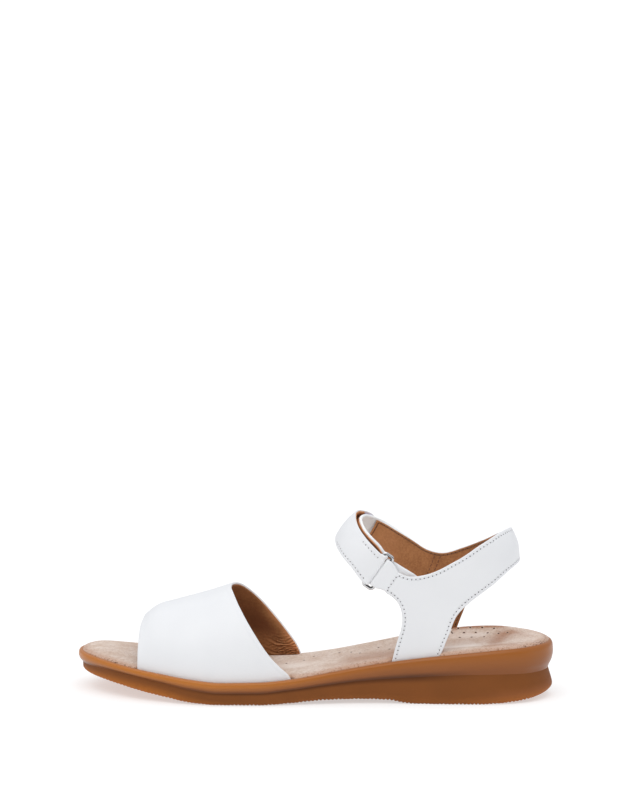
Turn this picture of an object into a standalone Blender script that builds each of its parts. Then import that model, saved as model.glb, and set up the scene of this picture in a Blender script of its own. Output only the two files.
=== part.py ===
"""Open-toed leather sandal with a ringed ankle strap, made for the left foot.

Frame: +X to the toe, +Y to the wearer's left, which is the outer side of this shoe, +Z up.
The origin lies on the floor under the middle of the shoe's bounding box.
Sizes are in millimetres and MM turns them into metres.
A station is a distance from the back of the heel towards the toe.
"""

import math
from bisect import bisect_right
from collections import namedtuple

import bpy
from mathutils import Vector
from mathutils.geometry import delaunay_2d_cdt, intersect_point_line

MM = 0.001

# Driving sizes
LENGTH = 250.0         # sole, heel to toe
GAP = 0.3              # left between pieces that touch
LIP_INSET = 3.0        # sole's edge to the inner wall of its lip
SEAT_DEPTH = 2.4       # lip's top down to the seat of the insole
UPPER_WALL = 1.8       # leather and lining of vamp and quarter
STRAP_WALL = 1.5       # doubled leather of strap and tab
STRAP_WIDTH = 15.8
STRAP_BULGE = 0.9      # crown of the strap's face over its edges, at the instep
TAB_WIDTH = 14.0
WIRE = 1.4             # thickness of the ring's wire
RING_LENGTH = 19.2     # across the strap, along the middle of the wire
RING_PITCH = 5.5       # between the middles of the ring's two bars
RING_CORNER = 1.5

# Mesh steps
SIDE_STATIONS = 48     # along each side of the sole
VAMP_STEPS = (26, 12)  # over the instep, front to back
EDGE_STEP = 3.6        # along the quarter's edges
FIELD_STEP = 6.4       # inside the quarter's edges
BAND_STEP = 3.4        # along strap and tab

# The sole: half widths of its widest edge, heights of its layers over the floor, how far
# the groove between the layers is cut in, and how far the tread stands in from the edge.
SoleRow = namedtuple("SoleRow", "station lateral medial bottom parting top groove tread")
SOLE = [
    SoleRow(0, 1.0, 1.0, 4.2, 15.0, 29.5, 2.7, 0.3),
    SoleRow(6, 18.0, -15.5, 2.8, 15.1, 29.4, 2.7, 0.3),
    SoleRow(14, 25.5, -22.5, 1.5, 15.3, 29.1, 2.6, 0.4),
    SoleRow(26, 30.0, -27.0, 0.5, 15.6, 28.5, 2.5, 0.5),
    SoleRow(40, 32.0, -29.0, 0.0, 15.6, 27.3, 2.4, 0.6),
    SoleRow(56, 32.3, -29.0, 0.0, 15.0, 25.6, 2.3, 0.7),
    SoleRow(72, 32.0, -27.5, 0.0, 14.0, 23.6, 2.2, 1.0),
    SoleRow(86, 32.3, -26.0, 1.9, 13.1, 21.6, 2.1, 1.3),
    SoleRow(100, 33.3, -24.8, 2.3, 12.0, 19.3, 2.0, 1.5),
    SoleRow(115, 35.6, -25.0, 2.1, 10.4, 16.7, 1.9, 1.6),
    SoleRow(135, 39.6, -29.0, 0.8, 8.0, 13.5, 1.8, 1.6),
    SoleRow(152, 42.2, -35.2, 0.0, 6.5, 12.2, 1.8, 1.6),
    SoleRow(172, 43.0, -41.0, 0.0, 6.4, 11.9, 1.8, 1.8),
    SoleRow(188, 41.2, -43.0, 0.8, 7.9, 13.1, 1.9, 1.9),
    SoleRow(202, 37.4, -42.6, 2.9, 10.2, 14.8, 2.0, 2.0),
    SoleRow(215, 32.0, -40.8, 4.8, 12.0, 16.2, 2.2, 2.1),
    SoleRow(228, 24.0, -37.0, 6.8, 13.5, 17.8, 2.4, 2.2),
    SoleRow(238, 15.5, -32.4, 8.2, 14.1, 19.0, 2.5, 2.3),
    SoleRow(245, 6.5, -27.4, 9.1, 13.9, 19.4, 2.5, 2.4),
    SoleRow(250, -11.0, -11.0, 9.8, 13.3, 19.3, 2.5, 2.5),
]

# Side of the midsole: share of its height, and share of the groove's depth
BulgeRow = namedtuple("BulgeRow", "height depth")
MIDSOLE_SIDE = [
    BulgeRow(0.00, 1.00), BulgeRow(0.10, 0.80), BulgeRow(0.32, 0.26), BulgeRow(0.60, 0.00),
    BulgeRow(0.84, 0.08), BulgeRow(0.96, 0.36), BulgeRow(1.00, 0.70),
]
# Side of the outsole: share of its height, share of the way from tread to groove, rounding
FlareRow = namedtuple("FlareRow", "height taper rounding")
OUTSOLE_SIDE = [
    FlareRow(0.00, 0.0, 1.3), FlareRow(0.10, 0.0, 0.4), FlareRow(0.24, 0.05, 0.0),
    FlareRow(0.60, 0.45, 0.0), FlareRow(1.00, 1.0, 0.0),
]

# The insole's raised rim and its middle, over the top of the midsole
FootbedRow = namedtuple("FootbedRow", "station rim_lateral rim_medial middle")
FOOTBED = [
    FootbedRow(0, 1.2, 1.2, 0.9), FootbedRow(12, 2.2, 2.2, 0.7), FootbedRow(30, 3.8, 3.8, 0.6),
    FootbedRow(50, 4.2, 4.6, 0.6), FootbedRow(80, 3.2, 3.9, 1.0),
    FootbedRow(105, 2.2, 2.8, 1.4), FootbedRow(130, 1.7, 2.0, 1.6),
    FootbedRow(165, 1.3, 1.3, 1.5), FootbedRow(215, 1.2, 0.8, 1.5),
    FootbedRow(250, 2.1, 2.1, 1.8),
]
# Rounding of the insole's edge: way in from its side, share of the rim's height
RimRow = namedtuple("RimRow", "inset rise")
INSOLE_EDGE = [RimRow(0.0, 0.12), RimRow(0.6, 0.55), RimRow(1.8, 0.92), RimRow(3.6, 1.0)]

# The vamp: its ridge over the instep, and its open edges by share of the way up its side
RidgeRow = namedtuple("RidgeRow", "station height")
VAMP_RIDGE = [
    RidgeRow(130, 60.8), RidgeRow(150, 58.8), RidgeRow(166, 55.8), RidgeRow(181, 51.0),
    RidgeRow(200, 45.5), RidgeRow(220, 41.0),
]
VampEdgeRow = namedtuple("VampEdgeRow", "rise front_lateral front_medial rear_lateral rear_medial")
VAMP_EDGES = [
    VampEdgeRow(0.00, 215.4, 215.4, 134.5, 132.6), VampEdgeRow(0.13, 215.4, 215.4, 138.6, 135.8),
    VampEdgeRow(0.30, 215.2, 215.0, 146.4, 141.6), VampEdgeRow(0.60, 214.6, 213.6, 155.8, 151.4),
    VampEdgeRow(0.85, 213.4, 211.6, 163.2, 161.0), VampEdgeRow(0.96, 211.6, 210.0, 166.6, 165.8),
    VampEdgeRow(1.00, 209.4, 209.4, 168.4, 168.4),
]
VAMP_RIDGE_ACROSS = -3.0
VAMP_ROUNDNESS = 2.3    # 2 is an ellipse, more is squarer

# The quarter: back of the heel by height, and its sides
HeelRow = namedtuple("HeelRow", "height station")
HEEL_BACK = [
    HeelRow(15, 11.5), HeelRow(50, 15.6), HeelRow(70, 18.4), HeelRow(78, 19.0),
    HeelRow(84, 20.9), HeelRow(92, 25.6),
]
HEEL_ROUND = 30.0       # station over which the back turns into the sides
SIDE_LATERAL = 27.5     # sides of the quarter, at the ankle
SIDE_MEDIAL = 26.05

# Edges of the quarter's flat pattern, as station and height of each turn.
# Each side has a stem up from the sole, a sling to the heel and an arm to the strap.
# A row at height 0 stands on the seat of the sole.
EdgeRow = namedtuple("EdgeRow", "station height")
LATERAL_FRONT = [
    EdgeRow(83.6, 0.0), EdgeRow(80.8, 31.0), EdgeRow(77.8, 42.0), EdgeRow(78.4, 49.5),
    EdgeRow(81.4, 54.6), EdgeRow(86.8, 58.5),
]
LATERAL_TOP = [
    EdgeRow(78.8, 69.6), EdgeRow(70.0, 67.5), EdgeRow(61.5, 69.2), EdgeRow(50.0, 75.2),
    EdgeRow(38.0, 82.8), EdgeRow(28.0, 87.8),
]
LATERAL_UNDER = [
    EdgeRow(58.6, 0.0), EdgeRow(53.5, 36.0), EdgeRow(49.6, 45.8), EdgeRow(43.2, 52.9),
    EdgeRow(32.0, 61.3), EdgeRow(22.5, 68.6),
]
MEDIAL_FRONT = [
    EdgeRow(79.8, 0.0), EdgeRow(77.2, 31.0), EdgeRow(74.4, 42.0), EdgeRow(75.8, 50.5),
    EdgeRow(81.0, 57.5), EdgeRow(92.0, 66.0), EdgeRow(102.4, 73.4),
]
MEDIAL_TOP = [
    EdgeRow(93.6, 86.8), EdgeRow(84.0, 81.6), EdgeRow(74.5, 75.6), EdgeRow(67.0, 70.8),
    EdgeRow(59.0, 69.4), EdgeRow(48.0, 72.7), EdgeRow(38.0, 77.2), EdgeRow(29.0, 83.0),
]
MEDIAL_UNDER = [
    EdgeRow(53.4, 0.0), EdgeRow(48.9, 36.0), EdgeRow(44.6, 45.8), EdgeRow(38.2, 52.9),
    EdgeRow(29.0, 61.0), EdgeRow(21.5, 68.6),
]
HEEL_TOP = 88.2
HEEL_UNDER = 70.6

# The ankle strap is a half oval in a plane that leans back with the instep: "run" is
# measured forward and up in that plane, "rise" across the strap.
LEAN = math.radians(34.5)
OVAL_RUN = 117.0        # run at which the sides turn into the oval
OVAL_REACH = 20.6       # oval's half length along the run
OVAL_SIDE = 26.0        # oval's half width
OVAL_ACROSS = -2.0      # oval's middle
RING_RUN = 113.6
RING_RISE = 6.4
STRAP_ROOT_RUN = 107.0  # start of the strap on the inner side
FLAP_END = math.radians(-68)
DriftRow = namedtuple("DriftRow", "angle rise")
STRAP_DRIFT = [
    DriftRow(-90, 12.0), DriftRow(-30, 11.6), DriftRow(0, 11.0), DriftRow(45, 8.4),
    DriftRow(90, RING_RISE),
]
TAB_ROOT_RUN = 104.8
TAB_LAP = 13.0          # inner ply of the tab, behind the ring

UPPER_SEAT = LIP_INSET + GAP + UPPER_WALL / 2
FOLD = WIRE / 2 + GAP + STRAP_WALL / 2
HALF_TURN = math.pi


def place(station, across, height):
    return Vector((station - LENGTH / 2, across, height)) * MM


def fair(rows, key, column):
    """A smooth curve through one column of a table, which never overshoots a row."""
    xs = [getattr(row, key) for row in rows]
    ys = [getattr(row, column) for row in rows]
    steps = [(y1 - y0) / (x1 - x0) for x0, x1, y0, y1 in zip(xs, xs[1:], ys, ys[1:])]
    slopes = [steps[0]]
    for before, after in zip(steps, steps[1:]):
        same_way = before * after > 0
        slopes.append(2 * before * after / (before + after) if same_way else 0.0)
    slopes.append(steps[-1])

    def value(x):
        i = min(max(bisect_right(xs, x) - 1, 0), len(xs) - 2)
        width = xs[i + 1] - xs[i]
        t = min(max((x - xs[i]) / width, 0.0), 1.0)
        start = ys[i] * (1 + 2 * t) + slopes[i] * width * t
        end = ys[i + 1] * (3 - 2 * t) - slopes[i + 1] * width * (1 - t)
        return start * (1 - t) ** 2 + end * t ** 2

    return value


def turn_of(station):
    """Angle round the sole's outline, from the heel (0) to the toe (half a turn)."""
    return math.acos(1 - 2 * min(max(station / LENGTH, 0.0), 1.0))


def outline_curve(column):
    TurnRow = namedtuple("TurnRow", "turn across")
    return fair([TurnRow(turn_of(row.station), getattr(row, column)) for row in SOLE],
                "turn", "across")


OUTLINE = {1: outline_curve("lateral"), -1: outline_curve("medial")}
bottom_height = fair(SOLE, "station", "bottom")
parting_height = fair(SOLE, "station", "parting")
top_height = fair(SOLE, "station", "top")
groove_depth = fair(SOLE, "station", "groove")
tread_inset = fair(SOLE, "station", "tread")
rim_height = {1: fair(FOOTBED, "station", "rim_lateral"),
              -1: fair(FOOTBED, "station", "rim_medial")}
middle_height = fair(FOOTBED, "station", "middle")
ridge_height = fair(VAMP_RIDGE, "station", "height")
vamp_front = {1: fair(VAMP_EDGES, "rise", "front_lateral"),
              -1: fair(VAMP_EDGES, "rise", "front_medial")}
vamp_rear = {1: fair(VAMP_EDGES, "rise", "rear_lateral"),
             -1: fair(VAMP_EDGES, "rise", "rear_medial")}
heel_back = fair(HEEL_BACK, "height", "station")
strap_rise = fair(STRAP_DRIFT, "angle", "rise")


def edge_point(station, side, inset):
    """Point of the sole's outline, moved in square to the outline."""
    turn = turn_of(station)
    small = 0.002
    before, after = max(turn - small, 0.0), min(turn + small, math.pi)
    run = LENGTH / 2 * (math.cos(before) - math.cos(after))
    if turn in (0.0, math.pi):
        run = 0.0
    rise = OUTLINE[side](after) - OUTLINE[side](before)
    size = math.hypot(run, rise)
    return station + side * rise / size * inset, OUTLINE[side](turn) - side * run / size * inset


def outline_station(station, side, inset):
    """Station of the outline from which a line that stands in reaches a given station."""
    origin = station
    for _ in range(5):
        origin += station - edge_point(origin, side, inset)[0]
    return origin


def across_at(station, side, inset):
    return edge_point(outline_station(station, side, inset), side, inset)[1]


def smoothstep(x, start, end):
    t = min(max((x - start) / (end - start), 0.0), 1.0)
    return t * t * (3 - 2 * t)


def seat_height(station):
    return top_height(station) - SEAT_DEPTH + GAP


def vamp_point(turn, station):
    """Middle of the vamp's wall; the turn goes from the outer side over to the inner side."""
    side = 1 if turn <= HALF_TURN / 2 else -1
    base = across_at(station, side, UPPER_SEAT)
    power = 2 / VAMP_ROUNDNESS
    spread = abs(math.cos(turn)) ** power
    rise = abs(math.sin(turn)) ** power
    floor = seat_height(station)
    return place(station, VAMP_RIDGE_ACROSS + (base - VAMP_RIDGE_ACROSS) * spread,
                 floor + (ridge_height(station) - floor) * rise)


def vamp_edges(turn):
    side = 1 if turn <= HALF_TURN / 2 else -1
    rise = abs(math.sin(turn)) ** (2 / VAMP_ROUNDNESS)
    return vamp_front[side](rise), vamp_rear[side](rise)


def run_and_rise(station, height):
    run = station * math.cos(LEAN) + height * math.sin(LEAN)
    rise = height * math.cos(LEAN) - station * math.sin(LEAN)
    return run, rise


def leaning_place(run, across, rise):
    return place(run * math.cos(LEAN) - rise * math.sin(LEAN), across,
                 run * math.sin(LEAN) + rise * math.cos(LEAN))


def quarter_side(side, station, height):
    """How far the middle of the quarter's wall stands from the shoe's middle plane."""
    ankle = SIDE_LATERAL if side > 0 else SIDE_MEDIAL
    past = run_and_rise(station, height)[0] - OVAL_RUN
    if side < 0 and past > 0:
        inward = OVAL_SIDE + OVAL_ACROSS * side - SIDE_MEDIAL
        share = min(past / (OVAL_REACH - inward), 0.95)
        ankle = (OVAL_SIDE - inward) * math.sqrt(1 - share * share) - OVAL_ACROSS
    base = abs(across_at(station, side, UPPER_SEAT))
    rise = height - top_height(station)
    return base + (ankle - base) * smoothstep(rise, 1.0, 34.0)


def girth_of(side, station, height):
    """Way round the quarter's flat pattern from the middle of the heel."""
    share = (station - heel_back(height)) / HEEL_ROUND
    turn = math.acos(1 - max(share, 0.0)) if share < 1 else math.pi / 2 + share - 1
    return side * turn * HEEL_ROUND


def quarter_point(girth, height):
    side = 1 if girth >= 0 else -1
    turn = abs(girth) / HEEL_ROUND
    bend = min(turn, math.pi / 2)
    station = heel_back(height) + HEEL_ROUND * (1 - math.cos(bend) + turn - bend)
    return place(station, side * math.sin(bend) * quarter_side(side, station, height), height)


def smooth_path(points, step):
    """Curve through the points in even steps, without its last point."""
    path = []
    for i in range(len(points) - 1):
        here, there = points[i], points[i + 1]
        before = points[i - 1] if i else here * 2 - there
        after = points[i + 2] if i + 2 < len(points) else there * 2 - here
        lengths = [max((q - p).length, 1e-6) ** 0.5 for p, q in
                   ((before, here), (here, there), (there, after))]
        first, middle, last = lengths
        leave = (here - before) / first - (there - before) / (first + middle)
        leave = (leave + (there - here) / middle) * middle
        arrive = (there - here) / middle - (after - here) / (middle + last)
        arrive = (arrive + (after - there) / last) * middle
        count = max(1, round((there - here).length / step))
        for k in range(count):
            t = k / count
            path.append(here * (1 + 2 * t) * (1 - t) ** 2 + leave * t * (1 - t) ** 2
                        + there * t * t * (3 - 2 * t) - arrive * t * t * (1 - t))
    return path


def pattern_point(side, station, height):
    height = max(height, seat_height(station))
    return Vector((girth_of(side, station, height), height))


def pattern_foot(side, start, end):
    """Foot of a stem, along the seat."""
    steps = 8
    return [pattern_point(side, start + (end - start) * i / steps, 0.0) for i in range(steps + 1)]


def pattern_edge():
    """The quarter's outline on its flat pattern, one way round."""
    def turns(rows, side):
        return [pattern_point(side, row.station, row.height) for row in rows]

    front, top, under = (turns(rows, 1) for rows in (LATERAL_FRONT, LATERAL_TOP, LATERAL_UNDER))
    far_front, far_top, far_under = (turns(rows, -1) for rows in
                                     (MEDIAL_FRONT, MEDIAL_TOP, MEDIAL_UNDER))
    over_heel = top + [Vector((0.0, HEEL_TOP))] + far_top[::-1]
    below_heel = far_under + [Vector((0.0, HEEL_UNDER))] + under[::-1]
    runs = [front, [front[-1], top[0]], over_heel, [far_top[0], far_front[-1]],
            far_front[::-1],
            pattern_foot(-1, MEDIAL_FRONT[0].station, MEDIAL_UNDER[0].station), below_heel,
            pattern_foot(1, LATERAL_UNDER[0].station, LATERAL_FRONT[0].station)]
    edge = []
    for run in runs:
        edge += smooth_path(run, EDGE_STEP)
    return edge


def inside(point, edge):
    crossings = 0
    for a, b in zip(edge, edge[1:] + edge[:1]):
        if (a.y > point.y) != (b.y > point.y):
            crossings += point.x < a.x + (b.x - a.x) * (point.y - a.y) / (b.y - a.y)
    return crossings % 2 == 1


def clear_of(point, edge, distance):
    for a, b in zip(edge, edge[1:] + edge[:1]):
        near, share = intersect_point_line(point, a, b)
        near = a if share < 0 else b if share > 1 else near
        if (near.to_2d() - point).length < distance:
            return False
    return True


def field_points(edge):
    """Even points inside the pattern, in staggered rows."""
    low, high = min(p.y for p in edge), max(p.y for p in edge)
    left, right = min(p.x for p in edge), max(p.x for p in edge)
    row_step = FIELD_STEP * math.sqrt(0.75)
    points = []
    for row in range(int((high - low) / row_step) + 1):
        for column in range(int((right - left) / FIELD_STEP) + 1):
            shift = 0.5 * (row % 2)
            point = Vector((left + (column + shift) * FIELD_STEP, low + (row + 0.5) * row_step))
            if inside(point, edge) and clear_of(point, edge, 0.55 * EDGE_STEP):
                points.append(point)
    return points


def add_object(name, points, faces, look):
    mesh = bpy.data.meshes.new(name)
    mesh.from_pydata(points, [], faces)
    mesh.validate()
    mesh.shade_smooth()
    mesh.set_sharp_from_angle(angle=math.radians(35))
    mesh.materials.append(look)
    piece = bpy.data.objects.new(name, mesh)
    bpy.context.scene.collection.objects.link(piece)
    return piece


def look(name, colour, roughness, metallic=0.0):
    material = bpy.data.materials.new(name)
    material.use_nodes = True
    shader = material.node_tree.nodes["Principled BSDF"]
    shader.inputs["Base Color"].default_value = (*colour, 1.0)
    shader.inputs["Roughness"].default_value = roughness
    shader.inputs["Metallic"].default_value = metallic
    return material


def add_wall(name, middle, normals, faces, thickness, surface):
    """A sheet of even thickness: two faces and the rim that joins them."""
    half = thickness * MM / 2
    count = len(middle)
    points = [p + n * half for p, n in zip(middle, normals)]
    points += [p - n * half for p, n in zip(middle, normals)]
    edges = {(a, b) for face in faces for a, b in zip(face, face[1:] + face[:1])}
    solid = [tuple(face) for face in faces]
    solid += [tuple(i + count for i in reversed(face)) for face in faces]
    solid += [(b, a, a + count, b + count) for a, b in sorted(edges) if (b, a) not in edges]
    return add_object(name, points, solid, surface)


def sole_stations(extra=()):
    even = [LENGTH / 2 * (1 - math.cos(math.pi * i / SIDE_STATIONS))
            for i in range(SIDE_STATIONS + 1)]
    clear = [s for s in even if all(abs(s - e) > 1.0 for e in extra)]
    return sorted(clear + list(extra))


def sole_ring(stations, inset, height):
    """One level line of the sole: outer side to the toe, then back along the inner side."""
    ring = []
    for side, ordered in ((1, stations), (-1, stations[-2:0:-1])):
        for station in ordered:
            along, across = edge_point(station, side, inset(side, station))
            ring.append(place(along, across, height(side, station)))
    return ring


def cap_faces(stations, first, up):
    """Strips from side to side that close a level line."""
    count = 2 * len(stations) - 2
    faces = []
    for i in range(len(stations) - 1):
        corners = [i, i + 1, (count - i - 1) % count, (count - i) % count]
        corners = [c for k, c in enumerate(corners) if c not in corners[:k]]
        faces.append([first + c for c in (reversed(corners) if up else corners)])
    return faces


def add_stack(name, stations, rings, surface, crown=None):
    """A solid from level lines, bottom to top; a crown is a footbed of strips on top."""
    count = 2 * len(stations) - 2
    points = [point for ring in rings for point in ring]
    faces = cap_faces(stations, 0, up=False)
    for level in range(len(rings) - 1):
        for i in range(count):
            a, b = level * count + i, level * count + (i + 1) % count
            faces.append([b, a, a + count, b + count])
    last = (len(rings) - 1) * count
    if crown is None:
        faces += cap_faces(stations, last, up=True)
    else:
        crown(points, faces, last)
    return add_object(name, points, faces, surface)


def add_outsole(surface):
    stations = sole_stations()

    def ring(row):
        def inset(_, station):
            tread, groove = tread_inset(station), groove_depth(station)
            return tread + (groove - tread) * row.taper + row.rounding

        def height(_, station):
            low, high = bottom_height(station), parting_height(station) - GAP / 2
            return low + (high - low) * row.height

        return sole_ring(stations, inset, height)

    return add_stack("outsole", stations, [ring(row) for row in OUTSOLE_SIDE], surface)


def add_midsole(surface):
    stations = sole_stations()

    def ring(row):
        def height(_, station):
            low, high = parting_height(station) + GAP / 2, top_height(station)
            return low + (high - low) * row.height

        return sole_ring(stations, lambda _, s: groove_depth(s) * row.depth, height)

    rings = [ring(row) for row in MIDSOLE_SIDE]
    rings.append(sole_ring(stations, lambda *_: LIP_INSET, lambda _, s: top_height(s)))
    rings.append(sole_ring(stations, lambda *_: LIP_INSET,
                           lambda _, s: top_height(s) - SEAT_DEPTH))
    return add_stack("midsole", stations, rings, surface)


def upper_feet(side):
    """Stations over which the upper stands on the seat."""
    front, under = ((LATERAL_FRONT, LATERAL_UNDER) if side > 0
                    else (MEDIAL_FRONT, MEDIAL_UNDER))
    edge = VAMP_EDGES[0]
    vamp_foot = ((edge.rear_lateral, edge.front_lateral) if side > 0
                 else (edge.rear_medial, edge.front_medial))
    feet = [(under[0].station, front[0].station), vamp_foot]
    return [[outline_station(station, side, UPPER_SEAT) for station in foot] for foot in feet]


def add_insole(surface):
    room, ramp = 1.6, 0.8
    corners = []
    for side in (1, -1):
        for start, end in upper_feet(side):
            corners += [start - room - ramp, start - room, end + room, end + room + ramp]
    stations = sole_stations(corners)

    def side_inset(side, station):
        for start, end in upper_feet(side):
            if start - room - 0.01 < station < end + room + 0.01:
                return LIP_INSET + GAP + UPPER_WALL + 3 * GAP
        return LIP_INSET + GAP

    def crest(side, station, rise):
        return top_height(station) + rim_height[side](station) * rise

    rings = [sole_ring(stations, side_inset, lambda _, s: seat_height(s))]
    for row in INSOLE_EDGE:
        rings.append(sole_ring(stations, lambda side, s: side_inset(side, s) + row.inset,
                               lambda side, s: crest(side, s, row.rise)))

    def crown(points, faces, first):
        """Dished strips across, from rim to rim."""
        count = 2 * len(stations) - 2
        shares = (0.14, 0.34, 0.66, 0.86)
        strips = [[first]]
        for i in range(1, len(stations) - 1):
            outer, inner = first + i, first + count - i
            strip = [outer]
            for share in shares:
                middle = top_height(stations[i]) + middle_height(stations[i])
                point = points[outer].lerp(points[inner], share)
                dish = 1 - abs(2 * share - 1) ** 2.5
                point.z += (middle * MM - point.z) * dish
                points.append(point)
                strip.append(len(points) - 1)
            strips.append(strip + [inner])
        strips.append([first + len(stations) - 1])
        for here, there in zip(strips, strips[1:]):
            for k in range(len(shares) + 1):
                if len(here) == 1:
                    faces.append([here[0], there[k + 1], there[k]])
                elif len(there) == 1:
                    faces.append([here[k], here[k + 1], there[0]])
                else:
                    faces.append([here[k], here[k + 1], there[k + 1], there[k]])

    return add_stack("insole", stations, rings, surface, crown)


def add_vamp(surface):
    over, along = VAMP_STEPS
    middle, normals, faces = [], [], []
    small = 0.02
    for i in range(over + 1):
        turn = HALF_TURN * i / over
        front, rear = vamp_edges(turn)
        low, high = max(turn - small, 0.0), min(turn + small, HALF_TURN)
        for j in range(along + 1):
            station = rear + (front - rear) * j / along
            middle.append(vamp_point(turn, station))
            across = vamp_point(high, station) - vamp_point(low, station)
            ahead = vamp_point(turn, station + small) - vamp_point(turn, station - small)
            normals.append(across.cross(ahead).normalized())
    row = along + 1
    for i in range(over):
        for j in range(along):
            first = i * row + j
            faces.append([first, first + row, first + row + 1, first + 1])
    return add_wall("vamp", middle, normals, faces, UPPER_WALL, surface)


def add_quarter(surface):
    edge = pattern_edge()
    flat = edge + field_points(edge)
    loop = [list(range(len(edge)))]
    sheet = delaunay_2d_cdt(flat, [], loop, 1, 1e-5)
    middle, normals = [], []
    small = 0.05
    for girth, height in sheet[0]:
        middle.append(quarter_point(girth, height))
        up = quarter_point(girth, height + small) - quarter_point(girth, height - small)
        round_way = quarter_point(girth + small, height) - quarter_point(girth - small, height)
        normals.append(up.cross(round_way).normalized())
    faces = [list(reversed(face)) for face in sheet[2]]
    return add_wall("quarter", middle, normals, faces, UPPER_WALL, surface)


def add_band(name, path, width, thickness, surface):
    """A strip along a path of (run, across, rise, crown) points, with its width along the rise."""
    shares = (-0.5, -0.17, 0.17, 0.5)
    rise_way = leaning_place(0, 0, 1) - leaning_place(0, 0, 0)
    centre = [leaning_place(run, across, rise) for run, across, rise, _ in path]
    middle, normals, faces = [], [], []
    for i, point in enumerate(centre):
        ahead = centre[min(i + 1, len(centre) - 1)] - centre[max(i - 1, 0)]
        outward = ahead.cross(rise_way).normalized()
        for share in shares:
            crown = path[i][3] * MM * (1 - 4 * share * share)
            middle.append(point + rise_way * (width * share) + outward * crown)
            normals.append(outward)
    row = len(shares)
    for i in range(len(path) - 1):
        for k in range(row - 1):
            first = i * row + k
            faces.append([first, first + row, first + row + 1, first + 1])
    return add_wall(name, middle, normals, faces, thickness, surface)


def fold_path(run, across, rise, way):
    """Half turn of a folded strip round one bar of the ring."""
    steps = 8
    points = []
    for i in range(steps + 1):
        turn = HALF_TURN * i / steps
        points.append((run - way * FOLD * math.sin(turn), across - way * FOLD * math.cos(turn),
                       rise, 0.0))
    return points


def ring_across():
    return SIDE_LATERAL - FOLD


def strap_path():
    """From the inner side round the instep, through the ring and back over itself."""
    bar_run = RING_RUN + RING_PITCH / 2
    start = OVAL_ACROSS - OVAL_SIDE
    inner = []
    for i in range(4):
        inner.append((STRAP_ROOT_RUN + (OVAL_RUN - STRAP_ROOT_RUN) * i / 4, start,
                      strap_rise(-90), 0.0))
    steps = round(HALF_TURN * OVAL_SIDE / BAND_STEP)
    turns = [-HALF_TURN / 2 + HALF_TURN * i / steps for i in range(steps + 1)]
    for turn in turns:
        inner.append((OVAL_RUN + OVAL_REACH * math.cos(turn),
                      OVAL_ACROSS + OVAL_SIDE * math.sin(turn), strap_rise(math.degrees(turn)),
                      STRAP_BULGE * math.cos(turn)))
    fold = fold_path(bar_run, ring_across(), RING_RISE, 1)
    flap = []
    for turn in reversed(turns):
        if turn < FLAP_END:
            break
        lift = 2 * FOLD + (STRAP_WALL + 0.6 - 2 * FOLD) * smoothstep(-turn, -1.5, -0.3)
        flap.append((OVAL_RUN + (OVAL_REACH + lift) * math.cos(turn),
                     OVAL_ACROSS + (OVAL_SIDE + lift) * math.sin(turn),
                     strap_rise(math.degrees(turn)), -STRAP_BULGE * math.cos(turn)))
    return inner + fold + flap


def tab_path():
    """From the quarter's arm to the ring, round its rear bar and back inside the quarter."""
    bar_run = RING_RUN - RING_PITCH / 2
    outer = [(TAB_ROOT_RUN + (bar_run - TAB_ROOT_RUN) * i / 2, SIDE_LATERAL, RING_RISE, 0.0)
             for i in range(2)]
    fold = fold_path(bar_run, ring_across(), RING_RISE, -1)
    lap = []
    lying = UPPER_WALL / 2 + GAP + STRAP_WALL / 2
    for i in range(1, 6):
        share = i / 5
        inward = 2 * FOLD + (lying - 2 * FOLD) * smoothstep(share, 0.0, 0.7)
        lap.append((bar_run - TAB_LAP * share, SIDE_LATERAL - inward, RING_RISE, 0.0))
    return outer + fold + lap


def add_ring(surface):
    """A loop of round wire, its long way across the strap."""
    corner_steps, wire_sides = 4, 8
    corners = ((1, 1), (-1, 1), (-1, -1), (1, -1))
    loop = []
    for quadrant, (along, up) in enumerate(corners):
        run = RING_RUN + along * (RING_PITCH / 2 - RING_CORNER)
        rise = RING_RISE + up * (RING_LENGTH / 2 - RING_CORNER)
        for step in range(corner_steps + 1):
            turn = math.pi / 2 * (quadrant + step / corner_steps)
            out = (math.cos(turn), math.sin(turn))
            loop.append((run + RING_CORNER * out[0], rise + RING_CORNER * out[1], out))
    points, faces = [], []
    for run, rise, out in loop:
        for k in range(wire_sides):
            turn = 2 * math.pi * k / wire_sides
            reach = WIRE / 2 * math.cos(turn)
            points.append(leaning_place(run + out[0] * reach,
                                        ring_across() + WIRE / 2 * math.sin(turn),
                                        rise + out[1] * reach))
    total = len(points)
    for i in range(len(loop)):
        for k in range(wire_sides):
            a, b = i * wire_sides + k, i * wire_sides + (k + 1) % wire_sides
            faces.append([a, b, (b + wire_sides) % total, (a + wire_sides) % total])
    return add_object("ring", points, faces, surface)


for leftover in list(bpy.data.objects):
    bpy.data.objects.remove(leftover)

white_leather = (0.82, 0.83, 0.85)
add_outsole(look("outsole_rubber", (0.21, 0.09, 0.03), 0.7))
add_midsole(look("midsole_foam", (0.36, 0.15, 0.05), 0.6))
add_insole(look("insole_suede", (0.62, 0.5, 0.43), 0.9))
add_vamp(look("vamp_leather", white_leather, 0.45))
add_quarter(look("quarter_leather", white_leather, 0.45))
add_band("ring_tab", tab_path(), TAB_WIDTH, STRAP_WALL, look("tab_leather", white_leather, 0.45))
add_band("ankle_strap", strap_path(), STRAP_WIDTH, STRAP_WALL,
         look("strap_leather", white_leather, 0.45))
add_ring(look("ring_metal", (0.75, 0.75, 0.76), 0.2, 1.0))
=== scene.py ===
# %% [markdown]
# # A white leather sandal, dressed piece by piece
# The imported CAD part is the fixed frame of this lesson. Each of its solids is replaced by a
# finer piece that a shoemaker would know: rubber, foam, suede, leather, lining and thread.
# All lengths below are in millimetres, and one helper turns them into metres at the end.
# A station is a distance from the back of the heel towards the toe.

# %% Load the frame
import math

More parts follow.
